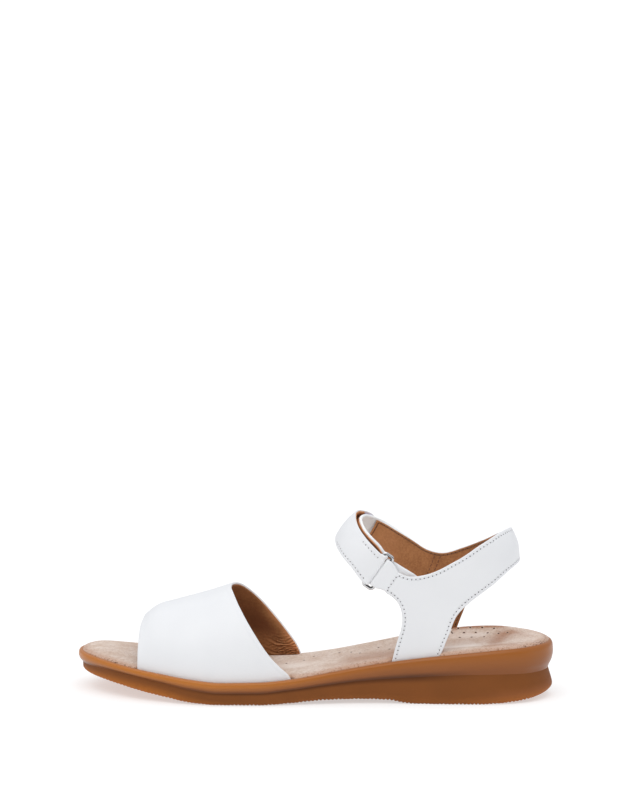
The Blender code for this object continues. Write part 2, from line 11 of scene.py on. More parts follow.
import bpy
import numpy as np
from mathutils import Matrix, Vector
from mathutils.geometry import delaunay_2d_cdt


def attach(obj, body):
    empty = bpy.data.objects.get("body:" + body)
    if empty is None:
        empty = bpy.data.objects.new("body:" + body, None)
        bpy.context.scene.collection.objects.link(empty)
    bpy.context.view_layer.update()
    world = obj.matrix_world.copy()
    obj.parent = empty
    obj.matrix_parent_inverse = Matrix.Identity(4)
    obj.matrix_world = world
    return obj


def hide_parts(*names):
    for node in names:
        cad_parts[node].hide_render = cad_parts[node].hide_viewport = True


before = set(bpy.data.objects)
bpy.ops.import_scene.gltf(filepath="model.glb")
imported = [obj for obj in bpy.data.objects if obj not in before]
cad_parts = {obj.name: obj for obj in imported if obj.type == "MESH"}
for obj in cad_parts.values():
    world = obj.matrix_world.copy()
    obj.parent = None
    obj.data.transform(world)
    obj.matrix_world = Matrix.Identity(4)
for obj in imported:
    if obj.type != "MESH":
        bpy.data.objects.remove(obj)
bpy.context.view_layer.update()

MM = 0.001
print("solids:", sorted(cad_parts))

# %% [markdown]
# ## Camera
# The picture was taken with a long lens from about three metres, a little above the shoe.
# A lens can be given by its focal length in pixels, which turns into Blender's millimetres
# through the sensor's long side. The shoe stands low in the frame, so the camera looks up past
# it: that is a small tilt, and no shift is needed.

# %% Camera
PICTURE_WIDTH, PICTURE_HEIGHT = 630, 788
FOCAL_PIXELS = 5726.7
AZIMUTH, ELEVATION = math.radians(183.5), math.radians(10.75)
DISTANCE = 3.0
AIM = Vector((0.0, 0.0, 0.045))
AIM_X, AIM_Y = 314.4, 606.7     # where the aim lies in the picture


def add_object(name, data):
    made = bpy.data.objects.new(name, data)
    bpy.context.scene.collection.objects.link(made)
    return made


lens = bpy.data.cameras.new("camera")
lens.sensor_width = 36.0
lens.lens = FOCAL_PIXELS * lens.sensor_width / PICTURE_HEIGHT
camera = add_object("camera", lens)
back = Vector((math.sin(AZIMUTH) * math.cos(ELEVATION),
               -math.cos(AZIMUTH) * math.cos(ELEVATION), math.sin(ELEVATION)))
camera.location = AIM + back * DISTANCE
look_up = math.atan((AIM_Y - PICTURE_HEIGHT / 2) / FOCAL_PIXELS)
look_right = math.atan((PICTURE_WIDTH / 2 - AIM_X) / FOCAL_PIXELS)
camera.rotation_euler = (math.pi / 2 - ELEVATION + look_up, 0.0, AZIMUTH - look_right)
bpy.context.scene.camera = camera
print(f"lens {lens.lens:.1f} mm at {tuple(round(v, 3) for v in camera.location)}")

# %% [markdown]
# ## Shader maths
# Shader nodes can be wired by hand, but then a formula is hard to read. Here one small class
# wraps a node's output, and plus, minus and times between two of them add Math nodes.
# Every other node comes from the method `node`: its type, its settings, then its sockets.
# Colours are mixed with Mix nodes, because a Math node would turn them grey.


# %% Shader maths
class Wire:
    """An output of a shader node; arithmetic with wires and numbers adds Math nodes."""

    def __init__(self, tree, socket=None):
        self.tree = tree
        self.socket = socket

    def node(self, kind, settings=None, sockets=None, out=0):
        made = self.tree.nodes.new("ShaderNode" + kind)
        for name, value in (settings or {}).items():
            setattr(made, name, value)
        entries = [entry for entry in made.inputs if entry.enabled]
        named = isinstance(sockets, dict)
        for key, value in (sockets.items() if named else enumerate(sockets or ())):
            entry = next(e for e in entries if e.name == key) if named else entries[key]
            if isinstance(value, Wire):
                self.tree.links.new(value.socket, entry)
            else:
                entry.default_value = value
        exits = [way for way in made.outputs if way.enabled]
        return Wire(self.tree, exits[out] if isinstance(out, int) else made.outputs[out])

    def maths(self, operation, *values):
        return self.node("Math", {"operation": operation}, values)

    def __add__(self, other):
        return self.maths("ADD", self, other)

    def __sub__(self, other):
        return self.maths("SUBTRACT", self, other)

    def __rsub__(self, other):
        return self.maths("SUBTRACT", other, self)

    def __mul__(self, other):
        return self.maths("MULTIPLY", self, other)

    __radd__ = __add__
    __rmul__ = __mul__

    def between(self, low, high):
        """0 below low, 1 above high, and a soft step from one to the other."""
        return self.node("MapRange", {"interpolation_type": "SMOOTHSTEP"},
                         {"Value": self, "From Min": low, "From Max": high})

    def blend(self, first, second):
        """A colour: the first where this wire is 0, the second where it is 1."""
        return self.node("Mix", {"data_type": "RGBA"}, {"Factor": self, "A": first, "B": second})

    def read(self, name):
        """The number that was marked under that name on each point of a piece."""
        return self.node("Attribute", {"attribute_name": name}, out="Fac")

    def noise(self, size, detail=2.0, roughness=0.5):
        """Clouds from 0 to 1, with blots of about that size in millimetres."""
        return self.node("TexNoise", {}, {"Vector": self, "Scale": 1 / (size * MM),
                                          "Detail": detail, "Roughness": roughness})

    def cells(self, size, feature="F1"):
        return self.node("TexVoronoi", {"feature": feature},
                         {"Vector": self, "Scale": 1 / (size * MM)}, out="Distance")

    def axis(self, letter):
        return self.node("SeparateXYZ", {}, (self,), out=letter) * (1 / MM)

    def bump(self, height, under=None):
        """A normal that leans with this wire, which is a share of that height in millimetres."""
        sockets = {"Strength": 1.0, "Distance": height * MM, "Height": self}
        if under:
            sockets["Normal"] = under
        return self.node("Bump", {}, sockets)


# %% Finishes
def paint(red, green, blue):
    """A colour as a screen shows it, 0 to 255, in the linear values that shaders use."""
    def linear(value):
        share = value / 255
        return share / 12.92 if share <= 0.04045 else ((share + 0.055) / 1.055) ** 2.4

    return linear(red), linear(green), linear(blue), 1.0


def open_finish(name):
    """A new material and a wire that carries the object's own coordinates."""
    material = bpy.data.materials.new(name)
    material.use_nodes = True
    return material, Wire(material.node_tree).node("TexCoord", out="Object")


def close_finish(material, **sockets):
    """Sets the shader's sockets: a wire for what varies, a number for what doesn't."""
    shader = material.node_tree.nodes["Principled BSDF"]
    for name, value in sockets.items():
        entry = shader.inputs[name.replace("_", " ").title().replace("Ior", "IOR")]
        if isinstance(value, Wire):
            material.node_tree.links.new(value.socket, entry)
        else:
            entry.default_value = value
    print("finish:", material.name, len(material.node_tree.nodes), "nodes")
    return material


# %% [markdown]
# ## Floor and light
# A white shoe on a pale floor wants soft light from everywhere, a little more from above and
# from the front. A wide sun gives that evenly over the whole floor, the floor itself glows a
# little, as on a light table, and a dark screen low in the sky behind the camera leaves the metal
# ring something to mirror.

# %% Floor and light
FLOOR_HALF = 14.0
SUN_WAY = Vector((-0.12, -0.5, -1.0))
SKY_LOW, SKY_HIGH, SCREEN = (0.50, 0.51, 0.53, 1), (0.84, 0.86, 0.89, 1), (0.03, 0.03, 0.03, 1)

floor_mesh = bpy.data.meshes.new("floor")
floor_mesh.from_pydata([(x * FLOOR_HALF, y * FLOOR_HALF, 0.0) for x, y in
                        ((-1, -1), (1, -1), (1, 1), (-1, 1))], [], [(0, 1, 2, 3)])
floor = add_object("floor", floor_mesh)
floor_paint, at = open_finish("floor paint")
floor_mesh.materials.append(close_finish(
    floor_paint, base_color=at.noise(900.0).blend((0.52, 0.52, 0.52, 1), (0.54, 0.54, 0.54, 1)),
    roughness=0.9, specular_ior_level=0.1, emission_color=(1, 1, 1, 1), emission_strength=0.52))

sky = bpy.data.worlds.new("studio")
bpy.context.scene.world = sky
sky.use_nodes = True
way = Wire(sky.node_tree).node("TexCoord", out="Generated")
upward, sideways = (way.node("SeparateXYZ", {}, (way,), out=letter) for letter in "ZY")
open_sky = upward.between(0.0, 0.7).blend(SKY_LOW, SKY_HIGH)
screen = (1 - upward.between(0.35, 0.5)) * sideways.between(0.25, 0.5)
sky_colour = (screen * 0.75).blend(open_sky, SCREEN)
sky.node_tree.links.new(sky_colour.socket, sky.node_tree.nodes["Background"].inputs["Color"])

sun = bpy.data.lights.new("key", "SUN")
sun.energy = 1.15
sun.angle = math.radians(60)
sun.color = (1.0, 0.985, 0.965)
key = add_object("key", sun)
key.rotation_euler = SUN_WAY.to_track_quat("-Z", "Y").to_euler()
bpy.context.scene.view_settings.view_transform = "Standard"
print("floor", 2 * FLOOR_HALF, "m wide")

# %% [markdown]
# ## Curves and pieces
# The shoe's shapes come from short tables of sizes. A smooth curve through a column could be a
# spline, but a spline swings past its points; this one keeps between them. Another helper makes
# a mesh object from points and faces, and lets it ride on the frame's only body.


# %% Curves and pieces
def table(columns, *rows):
    return dict(zip(columns.split(), np.array(rows, float).T))


def fair(xs, ys):
    """A smooth curve through points that never overshoots one of them."""
    steps = np.diff(ys) / np.diff(xs)
    before, after = steps[:-1], steps[1:]
    same_way = before * after > 0
    total = np.where(same_way, before + after, 1.0)
    inner = np.where(same_way, 2 * before * after / total, 0.0)
    slopes = np.concatenate([steps[:1], inner, steps[-1:]])

    def value(x):
        i = np.clip(np.searchsorted(xs, x, side="right") - 1, 0, len(xs) - 2)
        width = xs[i + 1] - xs[i]
        t = np.clip((x - xs[i]) / width, 0.0, 1.0)
        start = ys[i] * (1 + 2 * t) + slopes[i] * width * t
        end = ys[i + 1] * (3 - 2 * t) - slopes[i + 1] * width * (1 - t)
        return start * (1 - t) ** 2 + end * t ** 2

    return value


def curve_of(rows, column):
    """The smooth curve of one column of a table, by the table's first column."""
    return fair(next(iter(rows.values())), rows[column])


def both_sides(rows, column):
    """Two such curves: one for the outer side (1), one for the inner side (-1)."""
    return {1: curve_of(rows, column + "_lateral"), -1: curve_of(rows, column + "_medial")}


def smoothstep(x, start, end):
    t = np.clip((x - start) / (end - start), 0.0, 1.0)
    return t * t * (3 - 2 * t)


def unit(vectors):
    return vectors / np.maximum(np.linalg.norm(vectors, axis=-1, keepdims=True), 1e-9)


SHARP_ANGLE = math.radians(40)


def make_piece(name, points, faces, look, slot, *nodes):
    mesh = bpy.data.meshes.new(name)
    mesh.from_pydata((np.asarray(points) * MM).tolist(), [], faces)
    mesh.validate()
    mesh.shade_smooth()
    mesh.set_sharp_from_angle(angle=SHARP_ANGLE)
    mesh.materials.append(look)
    piece = add_object(name, mesh)
    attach(piece, "root")
    if nodes:
        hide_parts(*nodes)
    print(f"{name}: {len(mesh.vertices)} points, {len(mesh.polygons)} faces")
    return piece


def mark(piece, name, values):
    """A number on every point of a piece, which its finish can read."""
    layer = piece.data.attributes.new(name, "FLOAT", "POINT")
    layer.data.foreach_set("value", np.asarray(values, np.float32))


# %% [markdown]
# ## Outline of the sole
# Every layer of the sole follows one outline, here as half widths of the outer and the inner
# side by station. A level line is the outline moved in by some inset and lifted to some
# height; a layer is a stack of such lines with quads between them.

# %% Outline of the sole
LENGTH = 250.0
SOLE = table(
    "station lateral medial bottom parting top groove tread",
    (0, 1.0, 1.0, 4.2, 15.0, 29.5, 2.7, 0.3), (6, 18.0, -15.5, 2.8, 15.1, 29.4, 2.7, 0.3),
    (14, 25.5, -22.5, 1.5, 15.3, 29.1, 2.6, 0.4), (26, 30.0, -27.0, 0.5, 15.6, 28.5, 2.5, 0.5),
    (40, 32.0, -29.0, 0.0, 15.6, 27.3, 2.4, 0.6), (56, 32.3, -29.0, 0.0, 15.0, 25.6, 2.3, 0.7),
    (72, 32.0, -27.5, 0.0, 14.0, 23.6, 2.2, 1.0), (86, 32.3, -26.0, 1.9, 13.1, 21.6, 2.1, 1.3),
    (100, 33.3, -24.8, 2.3, 12.0, 19.3, 2.0, 1.5), (115, 35.6, -25.0, 2.1, 10.4, 16.7, 1.9, 1.6),
    (135, 39.6, -29.0, 0.8, 8.0, 13.5, 1.8, 1.6), (152, 42.2, -35.2, 0.0, 6.5, 12.2, 1.8, 1.6),
    (172, 43.0, -41.0, 0.0, 6.4, 11.9, 1.8, 1.8), (188, 41.2, -43.0, 0.8, 7.9, 13.1, 1.9, 1.9),
    (202, 37.4, -42.6, 2.9, 10.2, 14.8, 2.0, 2.0), (215, 32.0, -40.8, 4.8, 12.0, 16.2, 2.2, 2.1),
    (228, 24.0, -37.0, 6.8, 13.5, 17.8, 2.2, 2.2), (238, 15.5, -32.6, 8.2, 14.1, 19.0, 2.1, 2.2),
    (245, 6.5, -26.0, 9.1, 13.9, 19.6, 2.1, 2.2), (250, -11.0, -11.0, 9.8, 13.4, 19.7, 2.1, 2.3))


def turn_of(station):
    """Angle round the outline, from the heel (0) to the toe (half a turn)."""
    return np.arccos(1 - 2 * np.clip(station / LENGTH, 0.0, 1.0))


outline = {side: fair(turn_of(SOLE["station"]), SOLE[column])
           for side, column in ((1, "lateral"), (-1, "medial"))}
bottom, parting, top, groove, tread = (
    curve_of(SOLE, column) for column in ("bottom", "parting", "top", "groove", "tread"))


def spot(station, across, height):
    return np.stack(np.broadcast_arrays(station - LENGTH / 2, across, height), -1)


def edge_point(station, side, inset):
    """Station and half width of the outline, moved in square to it."""
    turn, small = turn_of(station), 0.002
    before, after = np.maximum(turn - small, 0.0), np.minimum(turn + small, np.pi)
    run = LENGTH / 2 * (np.cos(before) - np.cos(after))
    run = np.where((turn <= 0) | (turn >= np.pi), 0.0, run)
    rise = outline[side](after) - outline[side](before)
    size = np.hypot(run, rise)
    return station + side * rise / size * inset, outline[side](turn) - side * run / size * inset


def outline_station(station, side, inset):
    """Station of the outline whose point, moved in, lies at the given station."""
    origin = np.array(station, float)
    for _ in range(5):
        origin = origin + station - edge_point(origin, side, inset)[0]
    return origin


print("outline:", len(SOLE["station"]), "rows")


# %% Level lines
def level_line(stations, inset, height):
    """One loop: along the outer side to the toe, then back along the inner side."""
    halves = []
    for side, ordered in ((1, stations), (-1, stations[-2:0:-1])):
        along, across = edge_point(ordered, side, inset(side, ordered))
        halves.append(spot(along, across, height(side, ordered)))
    return np.concatenate(halves)


def stack_faces(levels, count):
    here = np.arange(count)
    there = np.roll(here, -1)
    rows = [np.stack([there, here, here + count, there + count], 1) + level * count
            for level in range(levels - 1)]
    return np.concatenate(rows).tolist()


def cap_faces(count, first, upward):
    """Strips from side to side that close a level line of the given number of points."""
    faces = []
    for i in range(count // 2):
        corners = [i, i + 1, (count - i - 1) % count, (count - i) % count]
        corners = list(dict.fromkeys(corners))
        faces.append([first + c for c in (corners[::-1] if upward else corners)])
    return faces


def stacked(lines, lid=True):
    """Points and faces of a stack of level lines with a floor, and with a lid if asked."""
    count = len(lines[0])
    faces = cap_faces(count, 0, False) + stack_faces(len(lines), count)
    if lid:
        faces += cap_faces(count, (len(lines) - 1) * count, True)
    return np.concatenate(lines), faces


def even_stations(steps):
    return LENGTH / 2 * (1 - np.cos(np.pi * np.arange(steps + 1) / steps))


# %% [markdown]
# ## Outsole
# The outsole is one moulded rubber unit, with a flared side and fine ribs right across its
# tread, which show as small teeth along the lower edge. A bump map would not change that edge,
# so the ribs are real: the stations are a quarter of a rib apart, and the lowest lines rise
# between the ribs. The finish is matt brown. Its lower rim is painted lighter, most at the toe
# and the heel end, as painted bounce light from the floor and painted light from the front; just
# under the midsole's bulge it is painted darker, as painted shade.

# %% Outsole shape
RIB_PITCH, RIB_DEPTH, RIB_INWARD, RIB_REACH = 2.0, 0.55, 0.7, 1.5
RIB_FROM, RIB_TO = 8.0, LENGTH - 6.0
RIBS_DEEPEN, RIBS_EASE, RIBS_END = (8, 14), (150, 190), (236, 243)
FLARE = table("height taper rounding", (0, 0, 1.3), (0.10, 0, 0.4), (0.24, 0.05, 0.0),
              (0.60, 0.45, 0.0), (1, 1, 0))
flare_taper, flare_rounding = (curve_of(FLARE, column) for column in ("taper", "rounding"))
RIM_LIFTS = (0, 0.25, 0.5, 0.9, 1.3, 1.8)
SIDE_SHARES = (0.08, 0.2, 0.35, 0.5, 0.65, 0.8, 0.92, 1)

rib_stations = np.arange(RIB_FROM, RIB_TO, RIB_PITCH / 4)
ends = even_stations(160)
tread_stations = np.concatenate([ends[ends < RIB_FROM - 0.1], rib_stations,
                                 ends[ends > RIB_TO + 0.1]])


def rib_rise(station):
    """Half a rib is flat, the other half is cut away, here more and there less."""
    wave = np.cos(2 * np.pi * station / RIB_PITCH)
    inside = smoothstep(station, *RIBS_DEEPEN) * (1 - smoothstep(station, *RIBS_END))
    uneven = 0.75 + 0.45 * np.sin(station / 2.3) * np.sin(station / 3.7 + 1)
    eased = 1 - 0.3 * smoothstep(station, *RIBS_EASE)
    return RIB_DEPTH * uneven * inside * eased * smoothstep(wave, -0.5, 0.9)


def outsole_line(lift, share):
    """A line at that lift above the tread, plus a share of the rest of the side."""
    cut = 1 - smoothstep(lift, 0.0, RIB_REACH)

    def share_of_side(station):
        side = parting(station) - bottom(station)
        return (lift + (side - lift) * share) / side

    def inset(_, station):
        up = share_of_side(station)
        way = tread(station) + (groove(station) - tread(station)) * flare_taper(up)
        return way + flare_rounding(up) + RIB_INWARD * rib_rise(station) * cut

    def height(_, station):
        low, high = bottom(station), parting(station)
        return low + (high - low) * share_of_side(station) + rib_rise(station) * cut

    loop_stations = np.concatenate([tread_stations, tread_stations[-2:0:-1]])
    return level_line(tread_stations, inset, height), share_of_side(loop_stations)


outsole_rows = [(lift, 0.0) for lift in RIM_LIFTS] + [(RIM_LIFTS[-1], s) for s in SIDE_SHARES]
outsole_lines, outsole_rises = zip(*(outsole_line(*row) for row in outsole_rows))
outsole_points, outsole_faces = stacked(outsole_lines)
print(len(rib_stations) // 4, "ribs")

# %% Outsole rubber
outsole_rubber, at = open_finish("outsole rubber")
rise = at.read("rise")
clouds = at.noise(14.0, 3.0)
body = clouds.blend(paint(121, 71, 33), paint(135, 79, 37))
along = at.axis("X")
to_toe = along.between(35.0, 85.0)
# Just under the midsole's bulge the rubber is painted darker: painted shade under the overhang.
groove_shade = rise.between(0.74, 1.0) * along.between(-95.0, -50.0) * (1 - to_toe)
side_colour = (groove_shade * 0.75).blend(body, paint(80, 43, 20))
# The heel end's lower part is painted lighter: painted bounce light from the floor.
lit_heel_end = (1 - along.between(-112.0, -78.0)) * (1 - rise.between(0.15, 0.6))
side_colour = (lit_heel_end * 0.6).blend(side_colour, paint(154, 94, 56))
# The lower rim is painted lighter, most at the toe and the heel end: painted bounce light from the
# floor and painted light from the front, broken by speckle noise.
rim_light_place = 0.25 + to_toe * 0.85 + (1 - along.between(-114.0, -60.0)) * 0.4
rim_speckle = 0.45 + at.noise(2.0, 3.0, 0.7) * 0.9
lit_lower_rim = (1 - rise.between(0.0, 0.35 + to_toe * 0.5)) * rim_light_place * rim_speckle
rubber_grain = at.noise(0.5, 3.0, 0.6)
close_finish(outsole_rubber, base_color=lit_lower_rim.blend(side_colour, paint(176, 104, 42)),
             roughness=0.5 + rubber_grain * 0.2, normal=rubber_grain.bump(0.05),
             specular_ior_level=0.15)
outsole = make_piece("outsole_tread", outsole_points, outsole_faces, outsole_rubber,
                     "outsole_rubber", "outsole")
mark(outsole, "rise", np.concatenate(outsole_rises))

# %% [markdown]
# ## Midsole
# Above the outsole a softer layer bulges out over the groove between them and ends in a thin
# lip round the insole. It is the same kind of stack, with its side drawn as a curve: share of
# the groove's depth by share of the height. The foam is honey brown. Its colour is lighter
# towards the lip, partly its own tone and partly painted light where the band faces up, and
# lighter towards the toe, painted light from the front; the lip's top edge and the foot of the
# band over the groove get painted shade. A number marked on each point says where.

# %% Midsole shape
LIP_INSET, SEAT_DEPTH = 3.0, 2.4
LIP_ROUNDING = ((0.4, -0.05), (0.0, 0.25), (0.0, SEAT_DEPTH))
BULGE = table("height depth", (0, 1.0), (0.10, 0.80), (0.32, 0.26), (0.60, 0.0), (0.84, 0.08),
              (0.96, 0.36), (1, 0.70))
bulge_depth = curve_of(BULGE, "depth")
MIDSOLE_SHARES = np.concatenate([np.linspace(0, 0.9, 19), [0.93, 0.96, 0.985, 1.0]])
midsole_stations = even_stations(220)


def midsole_line(share):
    def height(_, station):
        low, high = parting(station), top(station)
        return low + (high - low) * share

    return level_line(midsole_stations, lambda _, s: groove(s) * bulge_depth(share), height)


def lip_line(inset, drop):
    return level_line(midsole_stations, lambda _, s: 0 * s + inset, lambda _, s: top(s) - drop)


midsole_lines = [midsole_line(share) for share in MIDSOLE_SHARES]
midsole_lines += [lip_line(LIP_INSET - out, drop) for out, drop in LIP_ROUNDING]
midsole_points, midsole_faces = stacked(midsole_lines)
print("midsole:", len(midsole_lines), "level lines")

# %% Midsole foam
midsole_foam, at = open_finish("midsole foam")
rise = at.read("rise")
clouds = at.noise(22.0, 2.0)
low_colour = clouds.blend(paint(132, 78, 39), paint(146, 86, 43))
along = at.axis("X")
# Towards the toe the lip is painted lighter: painted light from the front.
forward = along.between(-60.0, 70.0)
lip_colour = forward.blend(paint(158, 94, 40), paint(184, 113, 47))
# Lighter towards the lip: partly the foam's own tone, partly painted light where the band faces
# up.
tone_and_light_to_lip = rise.between(0.05, 0.95 - forward * 0.25)
under_lip = tone_and_light_to_lip.blend(low_colour, lip_colour)
# The lip's top edge is painted darker: painted shade along its upturned edge.
lip_top_shade = (rise.between(0.84, 1.0) * 0.15).blend(under_lip, paint(136, 80, 36))
# The foot of the band over the groove is painted darker: painted shade where the bulge tucks
# under.
groove_shade = (1 - rise.between(0.0, 0.32)) * along.between(-95.0, -50.0) * (1 - forward * 0.5)
colour = (groove_shade * 0.9).blend(lip_top_shade, paint(80, 43, 20))
foam_grain = at.noise(0.6, 2.0)
close_finish(midsole_foam, base_color=colour, roughness=0.28 + at.noise(6.0) * 0.10,
             normal=foam_grain.bump(0.02), specular_ior_level=0.28)
midsole = make_piece("midsole_band", midsole_points, midsole_faces, midsole_foam,
                     "midsole_foam", "midsole")
line_rises = np.concatenate([MIDSOLE_SHARES, np.ones(len(LIP_ROUNDING))])
mark(midsole, "rise", np.repeat(line_rises, len(midsole_lines[0])))

# %% [markdown]
# ## Insole
# The footbed is soft foam under brushed leather: a raised rim all round, a cup at the heel, and
# notches where the upper goes down between it and the lip. Its top is made of strips from rim
# to rim that sag in the middle. The pinholes could be painted, but from close by a hole has a
# wall, so a Boolean cuts them with one mesh of many short rods.

# %% Insole shape
GAP, UPPER_WALL = 0.3, 1.8
UPPER_SEAT = LIP_INSET + GAP + UPPER_WALL / 2
FOOTBED = table("station rim_lateral rim_medial middle",
                (0, 1.2, 1.2, 0.9), (12, 1.3, 2.2, 0.9), (30, 1.5, 3.8, 0.9), (50, 1.6, 4.6, 1.0),
                (80, 1.6, 3.9, 1.3), (105, 1.6, 2.8, 1.6), (130, 1.6, 2.0, 1.7),
                (165, 1.3, 1.3, 1.5), (215, 1.2, 0.8, 1.5), (250, 1.6, 1.6, 1.6))
rim_rise, middle_rise = both_sides(FOOTBED, "rim"), curve_of(FOOTBED, "middle")
RIM = table("inset rise", (0, 0.0), (0.1, 0.2), (0.4, 0.4), (1.0, 0.62), (1.9, 0.80), (3.2, 0.93),
            (4.8, 0.99), (6.2, 1.0))
RIM_INSET, FOOT_INSET = 2.1, 6.0
NOTCH_IN, NOTCH_RAMP = 0.3, 0.6
STEM_FEET = {1: (58.6, 83.6), -1: (53.4, 79.8)}
VAMP_FEET = {1: (134.5, 215.4), -1: (132.6, 215.4)}
insole_stations = even_stations(260)


def seat_height(station):
    return top(station) - SEAT_DEPTH + GAP


def insole_inset(side, station):
    """Rests on the lip, and stands further in where the upper goes down."""
    inset = RIM_INSET + 0 * station
    for start, end in (STEM_FEET[side], VAMP_FEET[side]):
        start = outline_station(start, side, UPPER_SEAT) + NOTCH_IN
        end = outline_station(end, side, UPPER_SEAT) - NOTCH_IN
        inset += ((FOOT_INSET - RIM_INSET) * smoothstep(station, start - NOTCH_RAMP, start)
                  * (1 - smoothstep(station, end, end + NOTCH_RAMP)))
    return inset


def rim_line(inset, rise):
    return level_line(insole_stations, lambda side, s: insole_inset(side, s) + inset,
                      lambda side, s: top(s) + rim_rise[side](s) * rise)


insole_lines = [level_line(insole_stations, insole_inset, lambda _, s: seat_height(s))]
insole_lines += [rim_line(inset, rise) for inset, rise in zip(RIM["inset"], RIM["rise"])]
insole_points, insole_faces = stacked(insole_lines, lid=False)
print("insole:", len(insole_lines), "level lines")

# %% Insole top
STRIP_STEPS, SAG_SQUARE = 44, 2.1
CUP_STATION, CUP_LENGTH, CUP_WIDTH, CUP_DEPTH, CUP_EDGE = 42.0, 26.0, 21.0, 0.6, (0.6, 1.0)
ring_count = len(insole_lines[0])
crest = insole_lines[-1]
last_row = len(insole_points) - ring_count
half = ring_count // 2
shares = np.arange(1, STRIP_STEPS) / STRIP_STEPS
outer_rim, inner_rim = crest[1:half], crest[:half:-1]
strips = outer_rim[:, None] + (inner_rim - outer_rim)[:, None] * shares[None, :, None]
sag = 1 - np.abs(2 * shares - 1) ** SAG_SQUARE
floor_height = (top(insole_stations) + middle_rise(insole_stations))[1:half]
strips[..., 2] += (floor_height[:, None] - strips[..., 2]) * sag
cup = np.hypot((strips[..., 0] + LENGTH / 2 - CUP_STATION) / CUP_LENGTH,
               strips[..., 1] / CUP_WIDTH)
strips[..., 2] -= CUP_DEPTH * (1 - smoothstep(cup, *CUP_EDGE))
strip_ids = len(insole_points) + np.arange(strips[..., 0].size).reshape(strips.shape[:2])
outer_ids = last_row + np.arange(1, half)
inner_ids = last_row + np.arange(ring_count - 1, half, -1)
bed = np.concatenate([outer_ids[:, None], strip_ids, inner_ids[:, None]], 1)
insole_faces += np.stack([bed[:-1, :-1], bed[:-1, 1:], bed[1:, 1:], bed[1:, :-1]],
                         -1).reshape(-1, 4).tolist()
for k in range(STRIP_STEPS):
    insole_faces.append([last_row, bed[0, k + 1], bed[0, k]])
    insole_faces.append([bed[-1, k], bed[-1, k + 1], last_row + half])
insole_points = np.concatenate([insole_points, strips.reshape(-1, 3)])
print("insole strips:", strips.shape[:2])

# %% Pinholes
HOLE_RADIUS, HOLE_DEPTH, ROD_OVER, ROD_SIDES = 0.6, 1.2, 3.0, 10
HEEL_HOLES = table("station across", (50.3, -19.8), (44.0, -19.8), (37.7, -19.2), (31.4, -17.4),
                   (59.8, -15.2), (53.5, -15.2), (47.2, -15.6), (41.0, -15.1), (34.7, -13.4),
                   (28.9, -11.4), (24.2, -11.0), (61.9, -10.2), (55.6, -10.2), (49.2, -10.2),
                   (42.9, -9.2), (36.4, -8.0))
BALL_HOLES = table("station across", (139.6, 2.0), (130.6, -1.8), (125.8, -7.7), (112.3, -7.9),
                   (105.8, -4.7), (101.1, 0.9), (91.7, -6.6), (85.6, 0.5))
holes = np.concatenate([np.stack([rows["station"], rows["across"]], 1)
                        for rows in (HEEL_HOLES, BALL_HOLES)])
rod_points, rod_faces = [], []


def angles_round(sides):
    return 2 * np.pi * np.arange(sides) / sides


around = angles_round(ROD_SIDES)
flat_bed = strips.reshape(-1, 3)
for station, across in holes:
    near = np.argmin((flat_bed[:, 0] + LENGTH / 2 - station) ** 2 + (flat_bed[:, 1] - across) ** 2)
    level = flat_bed[near, 2]
    low = len(rod_points) + np.arange(ROD_SIDES)
    high = low + ROD_SIDES
    for height in (level - HOLE_DEPTH, level + ROD_OVER):
        rod_points += spot(station + HOLE_RADIUS * np.cos(around),
                           across + HOLE_RADIUS * np.sin(around), height).tolist()
    rod_faces += [low[::-1].tolist(), high.tolist()]
    rod_faces += np.stack([low, np.roll(low, -1), np.roll(high, -1), high], 1).tolist()
print(len(holes), "pinholes")

# %% Insole suede
insole_suede, at = open_finish("insole suede")
clouds = at.noise(11.0, 4.0, 0.6)
fine = at.noise(2.0, 3.0, 0.7)
wear_and_highlight, brim, rub = (at.read(name) for name in ("wear_and_highlight", "brim", "rub"))
pale = (clouds * 0.5 + fine * 0.5).between(0.36, 0.64).blend(paint(207, 182, 163),
                                                             paint(227, 211, 199))
edged = (brim * 0.7).blend(pale, paint(184, 142, 116))
used = (wear_and_highlight.between(0.0, 1.0) * (0.5 + fine)).blend(edged, paint(162, 104, 64))
# Below zero the bed is painted pale: a painted highlight where the light falls on the bed.
highlighted = (wear_and_highlight * -1.0).between(0.0, 1.0).blend(used, paint(248, 238, 230))
stipple = at.noise(1.1, 3.0, 0.75).between(0.53, 0.64)
freckled = (stipple * (0.36 + brim * 0.45 + wear_and_highlight * 0.5)).blend(highlighted, paint(146, 98, 72))
specks = rub * (1 - at.cells(0.8).between(0.3, 0.5)) * 0.85
suede_colour = specks.blend(freckled, paint(104, 68, 48))
nap = at.noise(0.35, 3.0, 0.7)
close_finish(insole_suede, base_color=suede_colour, roughness=0.82 + nap * 0.12,
             normal=(nap * 0.5 + clouds * 0.4).bump(0.08), specular_ior_level=0.2,
             sheen_weight=0.15, sheen_roughness=0.5)
# The pinholes' walls are painted dark brown: painted shade inside the holes.
pinhole_shade, at = open_finish("pinhole wall shade")
close_finish(pinhole_shade, base_color=at.noise(0.4).blend(paint(76, 42, 28), paint(100, 58, 38)),
             roughness=0.9, specular_ior_level=0.1)
insole = make_piece("insole_bed", insole_points, insole_faces, insole_suede, "insole_suede",
                    "insole")

# %% [markdown]
# ### Marks of use and painted highlights
# A footbed darkens where it is trodden. Each row of the table is a stroke with soft sides; a
# share above zero darkens the bed, and a share below zero is a pale one, a painted highlight
# where the light falls on the bed. The sum is marked on the points, and so is the nearness of
# the edge. The Boolean runs last, because it carries the marks along.

# %% Worn places and painted highlights
BRIM_WIDTH, RUB_SOFT, PAST_TIP = 5.5, 4, 3.0
